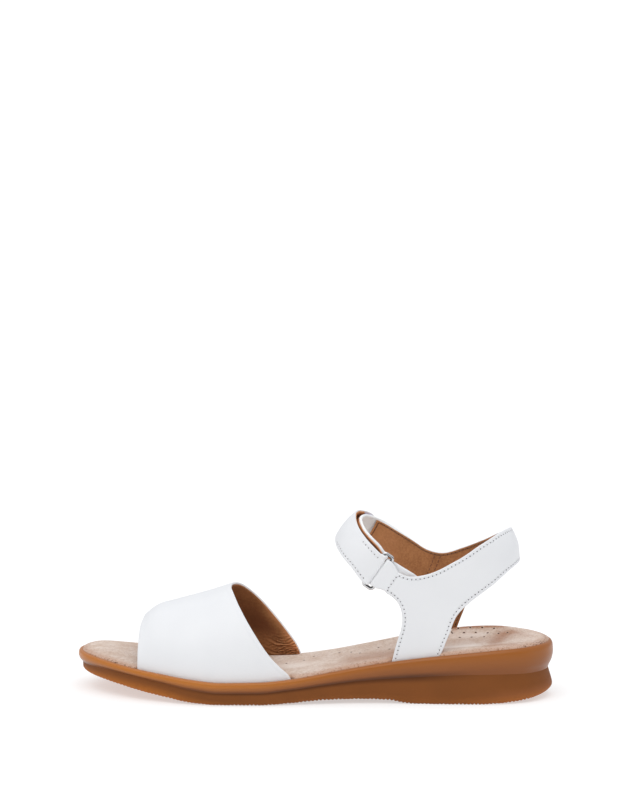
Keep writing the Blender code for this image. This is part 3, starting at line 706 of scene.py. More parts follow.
# Rows with a share above zero are marks of wear; rows below zero are painted highlights.
WEAR_AND_HIGHLIGHT = table("station across to_station to_across reach share",
             (32, 12.0, 26.5, -9.0, 6.5, 0.62), (21, -12.0, 13, -3.0, 4.0, 0.3),
             (74, 17.0, 106, 16.0, 16.0, 0.5), (58, -21.5, 28, -20.5, 3.0, 0.8),
             (34, 22.0, 20, 20.0, 4.0, 0.5), (60, 13.0, 42, 13.0, 8.0, -0.8),
             (52, -12.0, 38, -12.0, 5.0, -0.5), (138, 8.0, 116, 12.0, 8.0, -0.5))
wear_and_highlight_share = np.zeros(len(insole_points))
for i, reach in enumerate(WEAR_AND_HIGHLIGHT["reach"]):
    start = np.array([WEAR_AND_HIGHLIGHT["station"][i] - LENGTH / 2, WEAR_AND_HIGHLIGHT["across"][i]])
    step = np.array([WEAR_AND_HIGHLIGHT["to_station"][i] - LENGTH / 2, WEAR_AND_HIGHLIGHT["to_across"][i]]) - start
    along = np.clip((insole_points[:, :2] - start) @ step / (step @ step), 0, 1)
    away = np.linalg.norm(insole_points[:, :2] - start - along[:, None] * step, axis=1)
    wear_and_highlight_share += WEAR_AND_HIGHLIGHT["share"][i] * np.exp(-(away / reach) ** 2)
mark(insole, "wear_and_highlight", wear_and_highlight_share)
edge_loop = insole_lines[0][:, :2]
from_edge = np.array([np.min(np.linalg.norm(edge_loop - point, axis=1))
                      for point in insole_points[:, :2]])
mark(insole, "brim", 1 - smoothstep(from_edge, 0.0, BRIM_WIDTH))
RUB_MARKS = table("start end reach", (1, 18, 1.5), (212, 236, 0.4))
outer_side = insole_points[:, 1] > outline[1](np.pi) - PAST_TIP
rub_share = np.zeros(len(insole_points))
station = insole_points[:, 0] + LENGTH / 2
for start, end, reach in zip(*RUB_MARKS.values()):
    rub_share += (smoothstep(station, start, start + RUB_SOFT)
                  * (1 - smoothstep(station, end - RUB_SOFT, end))
                  * (1 - smoothstep(from_edge, reach, 2 * reach)) * outer_side)
mark(insole, "rub", rub_share)
print(len(WEAR_AND_HIGHLIGHT["reach"]), "strokes,", len(RUB_MARKS["reach"]), "rubbed places")

# %% Cut the pinholes
rod_mesh = bpy.data.meshes.new("rods")
rod_mesh.from_pydata((np.array(rod_points) * MM).tolist(), [], rod_faces)
rod_mesh.materials.append(pinhole_shade)
rods = add_object("rods", rod_mesh)
cut = insole.modifiers.new("pinholes", "BOOLEAN")
cut.object = rods
cut.operation = "DIFFERENCE"
cut.solver = "EXACT"
cut.material_mode = "TRANSFER"
with_holes = bpy.data.meshes.new_from_object(
    insole.evaluated_get(bpy.context.evaluated_depsgraph_get()))
insole.modifiers.clear()
insole.data = with_holes
bpy.data.objects.remove(rods)
with_holes.set_sharp_from_angle(angle=SHARP_ANGLE)
print("insole with pinholes:", len(with_holes.polygons), "faces")

# %% [markdown]
# ## Walls of leather
# An upper is sheet leather with turned edges. A Solidify modifier would give it square edges;
# this helper builds both faces of a sheet and a half-round edge between them. It finds the
# sheet's open edges itself, so it works for any pattern, and the white leather and the brown
# lining are two such walls that lie on each other.


# %% Walls of leather
EDGE_TURNS = 6


def wall(points, normals, faces, low, high):
    """Points and faces of a wall from low to high along a sheet's normals."""
    count = len(points)
    low, high = (np.broadcast_to(np.ravel(side), count)[:, None] for side in (low, high))
    half, centre = (high - low) / 2, (high + low) / 2
    edges = {(a, b) for face in faces for a, b in zip(face, face[1:] + face[:1])}
    after = {a: b for a, b in edges if (b, a) not in edges}
    rim = np.array(sorted(after))
    ahead = np.array([after[a] for a in rim])
    edge_out = unit(np.cross(points[ahead] - points[rim], normals[rim]))
    out = np.zeros_like(points)
    np.add.at(out, rim, edge_out)
    np.add.at(out, ahead, edge_out)
    out = unit(out)[rim]
    layers = [points + normals * high, points + normals * low]
    rows = [rim]
    for k in range(1, EDGE_TURNS):
        turn = np.pi / 2 - np.pi * k / EDGE_TURNS
        layers.append(points[rim] + normals[rim] * (centre[rim] + half[rim] * np.sin(turn))
                      + out * half[rim] * np.cos(turn))
        rows.append(2 * count + (k - 1) * len(rim) + np.arange(len(rim)))
    rows.append(rim + count)
    beside = np.searchsorted(rim, ahead)
    solid = [list(face) for face in faces] + [[i + count for i in face[::-1]] for face in faces]
    for here, there in zip(rows, rows[1:]):
        solid += np.stack([here[beside], here, there, there[beside]], 1).tolist()
    return np.concatenate(layers), solid


def grid_faces(rows, columns):
    first = (np.arange(rows - 1)[:, None] * columns + np.arange(columns - 1)).ravel()
    return np.stack([first, first + columns, first + columns + 1, first + 1], 1).tolist()


def grid_normals(grid):
    return unit(np.cross(np.gradient(grid, axis=0), np.gradient(grid, axis=1)))


# %% [markdown]
# ## White leather and brown lining
# The leather is smooth and nearly white, with a fine grain that only shows in raking light.
# The lining is thin brown pigskin with a closer grain. Both are noise at the right scale: clouds
# of colour over centimetres, grain under a millimetre. The lining reads a mark that paints shade
# where it is above zero and light where it is below zero. The leather reads a mark that paints
# the strap's inside a lighter white: painted light where it lies in shade.

# %% White leather and brown lining
white_leather, at = open_finish("white leather")
grain = at.cells(0.75, "SMOOTH_F1") * 0.6 + at.noise(0.45, 3.0, 0.6) * 0.6
drape = at.noise(26.0, 1.0)
tone = at.noise(18.0, 2.0)
painted_light = at.read("painted_light")
leather_tone = tone.blend((0.805, 0.81, 0.825, 1), (0.845, 0.85, 0.862, 1))
# Where the mark is one, the white is painted lighter: painted light on the strap's inside, which
# lies in shade.
close_finish(white_leather, base_color=painted_light.blend(leather_tone, (0.96, 0.985, 0.99, 1)),
             roughness=0.42 + at.noise(3.0) * 0.12,
             normal=grain.bump(0.035, drape.bump(0.35)), specular_ior_level=0.45)

brown_lining, at = open_finish("brown lining")
grain = at.cells(0.6, "SMOOTH_F1") * 0.7 + at.noise(0.4, 2.0) * 0.5
tone = (at.noise(11.0, 3.0) * 0.5 + at.noise(1.1, 3.0, 0.7) * 0.5).between(0.35, 0.65)
# This mark paints shade where it is above zero and light where it is below zero.
dark = at.read("dark")
shaded = dark.blend(tone.blend(paint(148, 97, 58), paint(178, 122, 77)), paint(108, 60, 31))
lining_colour = (dark * -1.0).between(0.0, 1.0).blend(shaded, paint(226, 158, 108))
close_finish(brown_lining, base_color=lining_colour, roughness=0.6 + grain * 0.15,
             normal=grain.bump(0.05), specular_ior_level=0.3)

# %% [markdown]
# ## Vamp
# The vamp is one broad band over the forefoot, open at the toe and at the instep. Across the
# shoe it is a rounded arch, a superellipse between an ellipse and a box, that stands on the
# insole's seat; along the shoe its ridge falls to the toe. The two open edges are curves of
# station by share of the way up. The lining stops a little short of the turned edge.

# %% Vamp shape
RIDGE = table("station height", (130, 60.8), (150, 58.8), (166, 55.8), (181, 51.0), (200, 45.5),
              (206, 43.8), (210, 41.5), (214, 37.8), (220, 31.6))
ridge_height = curve_of(RIDGE, "height")
VAMP = table("rise front_lateral front_medial rear_lateral rear_medial",
             (0, 215.4, 215.4, 134.3, 132.6), (0.08, 215.4, 215.3, 136.2, 133.8),
             (0.17, 215.4, 215.2, 140.4, 135.7), (0.30, 215.4, 215.0, 146.0, 139.9),
             (0.60, 215.4, 214.4, 155.8, 151.0), (0.85, 215.3, 214.0, 163.2, 160.8),
             (0.96, 215.0, 214.0, 166.6, 165.6), (1, 214.5, 214.5, 168.4, 168.4))
RIDGE_ACROSS, ROUNDNESS = -3.0, 2.3


def side_of(turn):
    return np.where(turn <= np.pi / 2, 1, -1)


def by_side(side, curves, *values):
    """One of two curves for each point, by the side of the shoe that it is on."""
    return np.where(side > 0, curves[1](*values), curves[-1](*values))


def across_at(station, side, inset):
    return edge_point(outline_station(station, side, inset), side, inset)[1]


SEAT_ACROSS = {side: lambda station, side=side: across_at(station, side, UPPER_SEAT)
               for side in (1, -1)}
vamp_front, vamp_rear = both_sides(VAMP, "front"), both_sides(VAMP, "rear")


def vamp_grid(edge_in, over=170, along=84):
    """Points of the vamp from the outer side over to the inner side, and rear to front."""
    turn = np.linspace(0, np.pi, over + 1)[:, None]
    side = side_of(turn)
    rise = np.abs(np.sin(turn)) ** (2 / ROUNDNESS)
    front = by_side(side, vamp_front, rise) - edge_in
    rear = by_side(side, vamp_rear, rise) + edge_in
    share = np.linspace(0, 1, along + 1)[None, :]
    share = 0.5 * share + 0.5 * share * share * (3 - 2 * share)    # closer at both edges
    station = rear + (front - rear) * share
    side, rise = np.broadcast_arrays(side, rise + 0 * station)
    spread = np.abs(np.cos(turn)) ** (2 / ROUNDNESS)
    base = by_side(side, SEAT_ACROSS, station)
    foot = seat_height(station)
    return spot(station, RIDGE_ACROSS + (base - RIDGE_ACROSS) * spread,
                foot + (ridge_height(station) - foot) * rise)


def add_grid_wall(name, grid, low, high, look, slot, *nodes):
    points, normals = grid.reshape(-1, 3), grid_normals(grid).reshape(-1, 3)
    faces = grid_faces(*grid.shape[:2])
    return make_piece(name, *wall(points, normals, faces, low, high), look, slot, *nodes)


def from_sides(grid):
    """Distance of each point of a grid from the nearer end of its row."""
    return np.minimum(*(np.linalg.norm(grid - grid[:, [column]], axis=2) for column in (0, -1)))


EDGE_IN, UPPER_FACE, LEATHER_BACK, LINING_BACK = 0.55, UPPER_WALL / 2, -0.2, -0.22
FOLD_OVER, FOLD_SOFT, FOLD_RISE = 2.2, 1.0, 0.12
grid = vamp_grid(EDGE_IN)
folded = 1 - smoothstep(from_sides(grid), FOLD_OVER - FOLD_SOFT, FOLD_OVER)
add_grid_wall("vamp_leather", grid, LEATHER_BACK, UPPER_FACE + FOLD_RISE * folded, white_leather,
              "vamp_leather", "vamp")

# %% Vamp lining
CREASE_PITCH, CREASE_DEPTH = 1.35, 0.6
REAR_X, REAR_Z, REAR_SLOPE = 7.6, 14, 0.77      # the rear edge of the inner side
SHADE, EDGE_LIGHT, RIDGE_LIGHT = 0.85, 0.4, 0.9
grid = vamp_grid(EDGE_IN, over=420, along=60)


def creases(points):
    """Waves across the low rear corner of the inner side, from -1 to 1."""
    x, y, z = points.T
    wander = (0.9 * np.sin(x / 2.7 + 0.4) + 0.7 * np.sin(x / 5.3 + z / 4.0)
              + 0.4 * np.sin(x / 1.6 - z))
    low_rear = (1 - smoothstep(z, 18, 28)) * (1 - smoothstep(x, 16, 32)) * (y < 0)
    return np.sin(2 * np.pi * (z + wander) / CREASE_PITCH) * low_rear


def points_of(piece):
    return np.array([point.co for point in piece.data.vertices]) / MM


creased_face = -UPPER_FACE - CREASE_DEPTH * creases(grid.reshape(-1, 3))
vamp_lining = add_grid_wall("vamp_lining", grid, creased_face, LINING_BACK, brown_lining,
                            "vamp_leather", "vamp")
lining_points = points_of(vamp_lining)
x, _, z = lining_points.T
# Painted shade deep in the vamp's inner side, painted light along its rear edge, painted
# highlights on the crease ridges.
from_edge = x - REAR_X - REAR_SLOPE * (z - REAR_Z)
lit_edge = (1 - smoothstep(from_edge, 0, 3.5)) * (1 - smoothstep(z, 38, 52))
in_shade = (SHADE * smoothstep(from_edge, 0, 8) * (1 - 0.45 * smoothstep(from_edge, 12, 26))
            * smoothstep(z, 17, 29) * (1 - 0.6 * smoothstep(z, 31, 44)))
ridges = np.maximum(creases(lining_points), 0)
mark(vamp_lining, "dark", in_shade - EDGE_LIGHT * lit_edge - RIDGE_LIGHT * ridges)

# %% [markdown]
# ## Quarter
# The quarter is cut from one flat pattern: a stem on each side, a sling round the heel and two
# arms. The pattern's outline is a curve through a few turns, and points inside it are joined
# into triangles with Blender's Delaunay tool. Each point is then rolled round the heel. Rows of
# points follow the edge, so that the seam can sink into the leather.

# %% Quarter surface
LEAN = math.radians(34.5)
OVAL_RUN, OVAL_REACH, OVAL_SIDE, OVAL_ACROSS = 117.0, 20.6, 26.0, -2.0
HEEL_ROUND, ANKLE_LATERAL, ANKLE_MEDIAL = 30.0, 27.5, 26.05
SEAT_TO_ANKLE = (1.0, 34.0)     # heights over the lip where the wall changes from one to the other
HEEL_BACK = table("height station", (15, 11.5), (50, 15.6), (70, 18.4), (78, 19.0), (84, 20.9),
                  (92, 25.6))
heel_back = curve_of(HEEL_BACK, "station")


def quarter_side(side, station, height):
    """How far the wall's middle stands from the shoe's middle plane."""
    past = station * math.cos(LEAN) + height * math.sin(LEAN) - OVAL_RUN
    inward = OVAL_SIDE - OVAL_ACROSS - ANKLE_MEDIAL
    share = np.clip(past / (OVAL_REACH - inward), 0.0, 0.95)
    bent = (OVAL_SIDE - inward) * np.sqrt(1 - share * share) - OVAL_ACROSS
    ankle = np.where(side > 0, ANKLE_LATERAL, np.where(past > 0, bent, ANKLE_MEDIAL))
    base = np.abs(by_side(side, SEAT_ACROSS, station))
    return base + (ankle - base) * smoothstep(height - top(station), *SEAT_TO_ANKLE)


def girth_of(side, station, height):
    """Way round the flat pattern from the middle of the heel."""
    share = np.maximum((station - heel_back(height)) / HEEL_ROUND, 0.0)
    turn = np.where(share < 1, np.arccos(1 - np.minimum(share, 1.0)), np.pi / 2 + share - 1)
    return side * turn * HEEL_ROUND


def quarter_point(girth, height):
    side = np.where(girth >= 0, 1, -1)
    turn = np.abs(girth) / HEEL_ROUND
    bend = np.minimum(turn, np.pi / 2)
    station = heel_back(height) + HEEL_ROUND * (1 - np.cos(bend) + turn - bend)
    return spot(station, side * np.sin(bend) * quarter_side(side, station, height), height)


def quarter_normal(girth, height):
    small = 0.05
    up = quarter_point(girth, height + small) - quarter_point(girth, height - small)
    round_way = quarter_point(girth + small, height) - quarter_point(girth - small, height)
    return unit(np.cross(up, round_way))


def on_quarter(flat):
    """Points and normals of the rolled sheet for points of the flat pattern."""
    return quarter_point(*flat.T), quarter_normal(*flat.T)


print("quarter rolled round", HEEL_ROUND, "mm")

# %% Quarter pattern
QUARTER = {
    (1, "front"): table("station height", (83.6, 0), (80.8, 31), (77.8, 42), (78.4, 49.5),
                        (81.4, 54.6), (86.8, 58.5)),
    (1, "top"): table("station height", (79.4, 68.7), (75.2, 67.0), (70.4, 66.9), (61.5, 69.1),
                      (50, 75.2), (38, 83.1), (28, 88.2)),
    (1, "under"): table("station height", (58.6, 0), (53.5, 36), (49.6, 45.8), (43.2, 52.9),
                        (32, 61.3), (22.5, 68.6)),
    (-1, "front"): table("station height", (79.8, 0), (77.2, 31), (74.4, 42), (75.8, 50.5),
                         (81, 57.5), (92, 66), (102.4, 73.4)),
    (-1, "top"): table("station height", (93.1, 87.7), (84, 82.0), (74.5, 76.3), (67, 71.6),
                       (59, 69.9), (48, 73.0), (38, 77.2), (29, 82.4)),
    (-1, "under"): table("station height", (53.4, 0), (48.9, 36), (44.6, 45.8), (38.2, 52.9),
                         (29, 61), (21.5, 68.6)),
}
HEEL_TOP, HEEL_UNDER = 88.2, 70.6
EDGE_STEP, FOOT_STEPS = 0.9, 9


def pattern_point(side, station, height):
    height = np.maximum(height, seat_height(station))
    return np.stack([girth_of(side, station, height), height], -1)


def turns_of(side, edge):
    rows = QUARTER[side, edge]
    return pattern_point(side, rows["station"], rows["height"])


def foot_line(side):
    start, end = STEM_FEET[side]
    return pattern_point(side, np.linspace(start, end, FOOT_STEPS), 0.0)


def smooth_path(points, step):
    """Curve through the points in even steps, without its last point."""
    path = []
    for i in range(len(points) - 1):
        here, there = points[i], points[i + 1]
        before = points[i - 1] if i else 2 * here - there
        after = points[i + 2] if i + 2 < len(points) else 2 * there - here
        first, middle, last = (max(np.linalg.norm(q - p), 1e-6) ** 0.5 for p, q in
                               ((before, here), (here, there), (there, after)))
        leave = ((here - before) / first - (there - before) / (first + middle)
                 + (there - here) / middle)
        arrive = ((there - here) / middle - (after - here) / (middle + last)
                  + (after - there) / last)
        count = max(1, round(np.linalg.norm(there - here) / step))
        t = (np.arange(count) / count)[:, None]
        path.append(here * (1 + 2 * t) * (1 - t) ** 2 + leave * middle * t * (1 - t) ** 2
                    + there * t * t * (3 - 2 * t) - arrive * middle * t * t * (1 - t))
    return np.concatenate(path)


def pattern_loop(arm_out, tab_out=0.0):
    """The pattern's closed edge, with the inner and the outer arm that much longer."""
    over, below = np.array([[0.0, HEEL_TOP]]), np.array([[0.0, HEEL_UNDER]])
    longer = arm_out * np.array([-math.cos(LEAN), math.sin(LEAN)])
    arm_top, arm_low = turns_of(-1, "top")[0] + longer, turns_of(-1, "front")[-1] + longer
    longer = tab_out * np.array([math.cos(LEAN), math.sin(LEAN)])
    tab_top, tab_low = turns_of(1, "top")[0] + longer, turns_of(1, "front")[-1] + longer
    runs = [
        np.concatenate([turns_of(1, "front")[:-1], [tab_low]]),
        np.stack([tab_low, tab_top]),
        np.concatenate([[tab_top], turns_of(1, "top")[1:], over, turns_of(-1, "top")[:0:-1],
                        [arm_top]]),
        np.stack([arm_top, arm_low]),
        np.concatenate([[arm_low], turns_of(-1, "front")[-2::-1]]),
        foot_line(-1)[::-1],
        np.concatenate([turns_of(-1, "under"), below, turns_of(1, "under")[::-1]]),
        foot_line(1)]
    return np.concatenate([smooth_path(run, EDGE_STEP) for run in runs])


pattern_edge = pattern_loop(0.0)
print("pattern edge:", len(pattern_edge), "points")

# %% Closed lines
NEAR_ENOUGH = 0.06


def loop_distance(points, loop):
    """Distance of each point from a closed line."""
    ends = np.roll(loop, -1, axis=0)
    way = ends - loop
    best = np.full(len(points), np.inf)
    for start, step in zip(loop, way):
        share = np.clip(((points - start) @ step) / max(step @ step, 1e-9), 0, 1)
        best = np.minimum(best, np.linalg.norm(points - start - share[:, None] * step, axis=1))
    return best


def inside_loop(points, loop):
    crossings = np.zeros(len(points), int)
    x, y = points.T
    for (ax, ay), (bx, by) in zip(loop, np.roll(loop, -1, axis=0)):
        if ay != by:
            straddles = (ay > y) != (by > y)
            crossings += straddles & (x < ax + (bx - ax) * (y - ay) / (by - ay))
    return crossings % 2 == 1


def moved_in(loop, inset):
    """A closed line moved to its inside, without the points that come too near at corners."""
    way = np.roll(loop, -1, axis=0) - np.roll(loop, 1, axis=0)
    area = np.sum(loop[:, 0] * np.roll(loop[:, 1], -1) - np.roll(loop[:, 0], -1) * loop[:, 1])
    left = unit(np.stack([-way[:, 1], way[:, 0]], 1)) * np.sign(area)
    moved = loop + left * np.reshape(inset, (-1, 1))
    return moved[loop_distance(moved, loop) > inset - NEAR_ENOUGH]


# %% Quarter sheet
SEAM_INSET, SEAM_ROWS = 1.6, (-0.6, -0.3, 0.0, 0.3, 0.7, 1.4)
FIELD_STEP = 2.6


def pattern_sheet(edge, edge_in):
    """Flat points and triangles of the pattern, with rows of points beside its edge."""
    loop = moved_in(edge, edge_in)
    rows = [moved_in(edge, SEAM_INSET + step) for step in SEAM_ROWS]
    low, high = loop.min(0), loop.max(0)
    row_step = FIELD_STEP * math.sqrt(0.75)
    field = [(low[0] + (column + 0.5 * (row % 2)) * FIELD_STEP, low[1] + row * row_step)
             for row in range(int((high[1] - low[1]) / row_step) + 1)
             for column in range(int((high[0] - low[0]) / FIELD_STEP) + 1)]
    field = np.array(field)
    field = field[inside_loop(field, loop)]
    field = field[loop_distance(field, edge) > SEAM_INSET + FIELD_STEP]
    flat = np.concatenate([loop, *rows, field])
    sheet = delaunay_2d_cdt([Vector(p) for p in flat], [], [list(range(len(loop)))], 1, 1e-4)
    return np.array([list(p) for p in sheet[0]]), [list(face)[::-1] for face in sheet[2]]


SEAM_OVER_LIP, TAB_SEAM_OUT = 1.0, 1.4


def seam_path(edge, inset):
    loop = moved_in(edge, inset)
    station = quarter_point(loop[:, 0], loop[:, 1])[:, 0] + LENGTH / 2
    return loop[loop[:, 1] > top(station) + SEAM_OVER_LIP]


seam_edge = pattern_loop(0.0, TAB_SEAM_OUT)
seam_loop = seam_path(seam_edge, SEAM_INSET)


def seam_sink(flat, depth=0.2, width=0.5):
    near = np.full(len(flat), np.inf)
    for point in seam_loop:
        near = np.minimum(near, np.linalg.norm(flat - point, axis=1))
    return depth * np.exp(-(near / width) ** 2)


flat, faces = pattern_sheet(pattern_edge, EDGE_IN)
leather_wall = wall(*on_quarter(flat), faces, LEATHER_BACK, UPPER_FACE - seam_sink(flat))
make_piece("quarter_leather", *leather_wall, white_leather, "quarter_leather", "quarter")

# %% Quarter lining
LINING_ARM_OUT, LINING_IN, STEM_LINING_OUT, STEM_TOP = 1.0, 0.65, 0.2, (52, 62)
ARM_LIGHT, ARM_STARTS = 0.3, (-52, -38)
lining_edge = pattern_loop(LINING_ARM_OUT)
on_stem = 1 - smoothstep(lining_edge[:, 1], *STEM_TOP)
flat, faces = pattern_sheet(lining_edge, LINING_IN - STEM_LINING_OUT * on_stem)
lining_wall = wall(*on_quarter(flat), faces, -UPPER_FACE, LINING_BACK)
quarter_lining = make_piece("quarter_lining", *lining_wall, brown_lining, "quarter_leather",
                            "quarter")
x, y, _ = points_of(quarter_lining).T
# The inner arm's lining is painted lighter towards its front: painted light.
mark(quarter_lining, "dark", -ARM_LIGHT * smoothstep(x, *ARM_STARTS) * (y < 0))

# %% [markdown]
# ## Ankle strap and ring tab
# The strap is a doubled band that leaves the inner arm, goes round the instep, passes the ring
# from inside and folds back over itself. It lies in a plane that leans back, so its path is
# given by the run forward in that plane, the way across and the rise. White leather and brown
# backing are two layers of the same band, and the fold turns the white side out.

# %% Ankle strap path
STRAP_WALL, STRAP_BULGE, STRAP_ROOT_RUN, BAND_STEP, ROOT_STEPS = 1.5, 0.9, 107.0, 0.9, 10
WIRE, RING_PITCH, RING_RUN, RING_RISE = 1.4, 5.5, 113.6, 6.4
FOLD = WIRE / 2 + GAP + STRAP_WALL / 2
DRIFT = table("angle rise", (-90, 12.0), (-30, 11.6), (0, 11.0), (45, 8.4), (90, RING_RISE))
strap_rise = curve_of(DRIFT, "rise")
PLY_DRIFT = table("angle rise inward", (-90, 0.4, 0), (-50, -0.3, 0.5), (0, -0.9, 1.2),
                  (35, 0.1, 1.9), (60, 1.1, 1.8), (80, 1.8, 0.8), (90, 1.3, 0))
ply_rise, ply_inward = (curve_of(PLY_DRIFT, column) for column in ("rise", "inward"))
run_way = np.array([math.cos(LEAN), 0.0, math.sin(LEAN)])
rise_way = np.array([-math.sin(LEAN), 0.0, math.cos(LEAN)])
across_way = np.array([0.0, 1.0, 0.0])
heel_corner = np.array([-LENGTH / 2, 0.0, 0.0])


def rows_of(run, across, rise, crown):
    return np.stack(np.broadcast_arrays(run, across, rise, crown), -1).astype(float)


FOLD_STEPS, FOLD_SQUARE, FOLD_LONGER = 25, 5.0, 0.12


def pressed(value):
    """Makes a circle's sine or cosine into a squarer, pressed turn's."""
    return np.sign(value) * np.abs(value) ** (2 / FOLD_SQUARE)


def fold_rows(run, across, rise, way):
    """Half a turn of the band round one bar of the ring."""
    turn = np.linspace(0, np.pi, FOLD_STEPS)
    return rows_of(run - way * (FOLD + FOLD_LONGER) * pressed(np.sin(turn)),
                   across - way * FOLD * pressed(np.cos(turn)), rise, 0.0)


ring_across = ANKLE_LATERAL - FOLD
front_bar, rear_bar = RING_RUN + RING_PITCH / 2, RING_RUN - RING_PITCH / 2
turns = np.linspace(-np.pi / 2, np.pi / 2, round(np.pi * OVAL_SIDE / BAND_STEP))
start_run = np.linspace(STRAP_ROOT_RUN, OVAL_RUN, ROOT_STEPS + 1)[:-1]
degrees = np.degrees(turns)
inner_ply = np.concatenate([
    rows_of(start_run, OVAL_ACROSS - OVAL_SIDE, strap_rise(-90) + ply_rise(-90), 0.0),
    rows_of(OVAL_RUN + (OVAL_REACH - ply_inward(degrees)) * np.cos(turns),
            OVAL_ACROSS + (OVAL_SIDE - ply_inward(degrees)) * np.sin(turns),
            strap_rise(degrees) + ply_rise(degrees), STRAP_BULGE * np.cos(turns))])
print("inner layer:", len(inner_ply), "rows")

# %% Flap of the strap
FLAP_END, END_ROUND, END_STEPS = math.radians(-68), 6.0, 26
FLAP_OUTWARD, FLAP_CLOSES, TAPE_GAP = 0.3, (-1.5, -0.1), 0.6
FLAP_DRIFT = table("angle rise", (-90, -0.8), (-68, -0.6), (-46, 0.2), (-25, 0.0), (90, 0.0))
flap_rise = curve_of(FLAP_DRIFT, "rise")
end_turn = FLAP_END + 1.2 * END_ROUND / OVAL_SIDE
flap_turns = np.concatenate([turns[::-1][turns[::-1] > end_turn],
                             np.linspace(end_turn, FLAP_END, END_STEPS)])
lift = 2 * FOLD + (STRAP_WALL + TAPE_GAP - 2 * FOLD) * smoothstep(-flap_turns, *FLAP_CLOSES)
flap = rows_of(OVAL_RUN + (OVAL_REACH + FLAP_OUTWARD + lift) * np.cos(flap_turns),
               OVAL_ACROSS + (OVAL_SIDE + lift) * np.sin(flap_turns),
               strap_rise(np.degrees(flap_turns)) + flap_rise(np.degrees(flap_turns)),
               -STRAP_BULGE * np.cos(flap_turns))
fold_rise = RING_RISE + np.linspace(ply_rise(90), 0.0, FOLD_STEPS)
strap_path = np.concatenate([inner_ply, fold_rows(front_bar, ring_across, fold_rise, 1), flap])
print("strap path:", len(strap_path), "rows")

# %% Band along a path
LEAN_IN, BAND_COLUMNS = 1.4, 49


def band_grid(path, below, above):
    """A grid along a path and across it, crowned in the middle and leaning in at its top."""
    centre = (heel_corner + path[:, :1] * run_way + path[:, 1:2] * across_way
              + path[:, 2:3] * rise_way)
    ahead = np.gradient(centre, axis=0)
    outward = unit(np.cross(ahead, rise_way))
    share = np.linspace(0, 1, BAND_COLUMNS)
    crown = path[:, 3, None] * (1 - (2 * share - 1) ** 2 - LEAN_IN * share)
    rise = share * (below + above)[:, None] - below[:, None]
    return centre[:, None] + rise_way * rise[..., None] + outward[:, None] * crown[..., None]


def lengths_along(path):
    steps = np.linalg.norm(np.diff(path, axis=0), axis=1)
    return np.concatenate([[0], np.cumsum(steps)])


STRAP_WIDTH, STRAP_EDGES, FLARE_LOW, FLARE_REACH, TOP_HIGHER = 15.8, 0.9, 1.75, (3, 15), 0.8
strap_lengths = lengths_along(strap_path[:, :3])
from_end = strap_lengths[-1] - strap_lengths
rounded_end = np.sqrt(np.clip(1 - (1 - np.clip(from_end / END_ROUND, 0, 1)) ** 2, 0.01, 1))
half_width = (STRAP_WIDTH - STRAP_EDGES) / 2 * rounded_end
from_fold = np.abs(strap_lengths - strap_lengths[len(inner_ply) + FOLD_STEPS // 2])
strap_below = half_width + FLARE_LOW * (1 - smoothstep(from_fold, *FLARE_REACH))
strap_above = half_width + TOP_HIGHER * np.abs(strap_path[:, 3]) / STRAP_BULGE * rounded_end
strap_grid = band_grid(strap_path, strap_below, strap_above)
print(f"strap {strap_lengths[-1]:.0f} mm long")

# %% [markdown]
# ### Layers of the strap
# The white leather turns over the edges of the brown backing, and two seams sink into the flap.
# A wall takes a number for each point of its sheet, so both are small changes of its two faces.
# The inner layer is painted a lighter white until just before the fold: painted light in the shade
# of the loop.

# %% Strap leather
SEAM_COLUMNS, SEAM_STARTS, SEAM_TIGHTENS = (4, BAND_COLUMNS - 7), (8.0, 21.5), 4.0
SEAM_SINK, SEAM_WIDTH = 0.16, 0.5
STRAP_FACE, LEATHER_INSIDE = STRAP_WALL / 2, 0.12
TURN_WIDTH, TURN_OUT, TURN_BACK = (0.35, 0.65), 0.25, 0.62
PAINTED_LIGHT_FADE = (18.0, 5.0)       # before the fold
on_flap = np.arange(len(strap_path)) > len(inner_ply) + FOLD_STEPS
stitched = on_flap & (from_end > END_ROUND)
drawn_tight = [smoothstep(strap_path[:, 1], start, start + SEAM_TIGHTENS) * on_flap
               for start in SEAM_STARTS]
strap_normals = grid_normals(strap_grid)
sink = np.zeros(strap_grid.shape[:2])
for column, tight in zip(SEAM_COLUMNS, drawn_tight):
    away = np.linalg.norm(strap_grid - strap_grid[:, column:column + 1], axis=2)
    sink += SEAM_SINK * np.exp(-(away / SEAM_WIDTH) ** 2) * tight[:, None]
turned_over = (1 - smoothstep(from_sides(strap_grid), *TURN_WIDTH)) * (~on_flap)[:, None]
ankle_strap = add_grid_wall("ankle_strap", strap_grid,
                            -STRAP_FACE + sink - TURN_OUT * turned_over,
                            LEATHER_INSIDE + TURN_BACK * turned_over,
                            white_leather, "strap_leather", "ankle_strap")


def over_wall(values):
    """Values of a grid's points for both faces of its wall and for the rows of its rim."""
    on_rim = np.ones(values.shape, bool)
    on_rim[1:-1, 1:-1] = False
    return np.concatenate([np.tile(values.ravel(), 2), np.tile(values[on_rim], EDGE_TURNS - 1)])


# The rows before the fold are painted lighter: painted light on the strap's shaded inside.
fold_start = strap_lengths[len(inner_ply)]
fade_start, fade_end = (fold_start - before for before in PAINTED_LIGHT_FADE)
painted_light_rows = 1 - smoothstep(strap_lengths, fade_start, fade_end)
mark(ankle_strap, "painted_light", over_wall(np.tile(painted_light_rows[:, None], BAND_COLUMNS)))

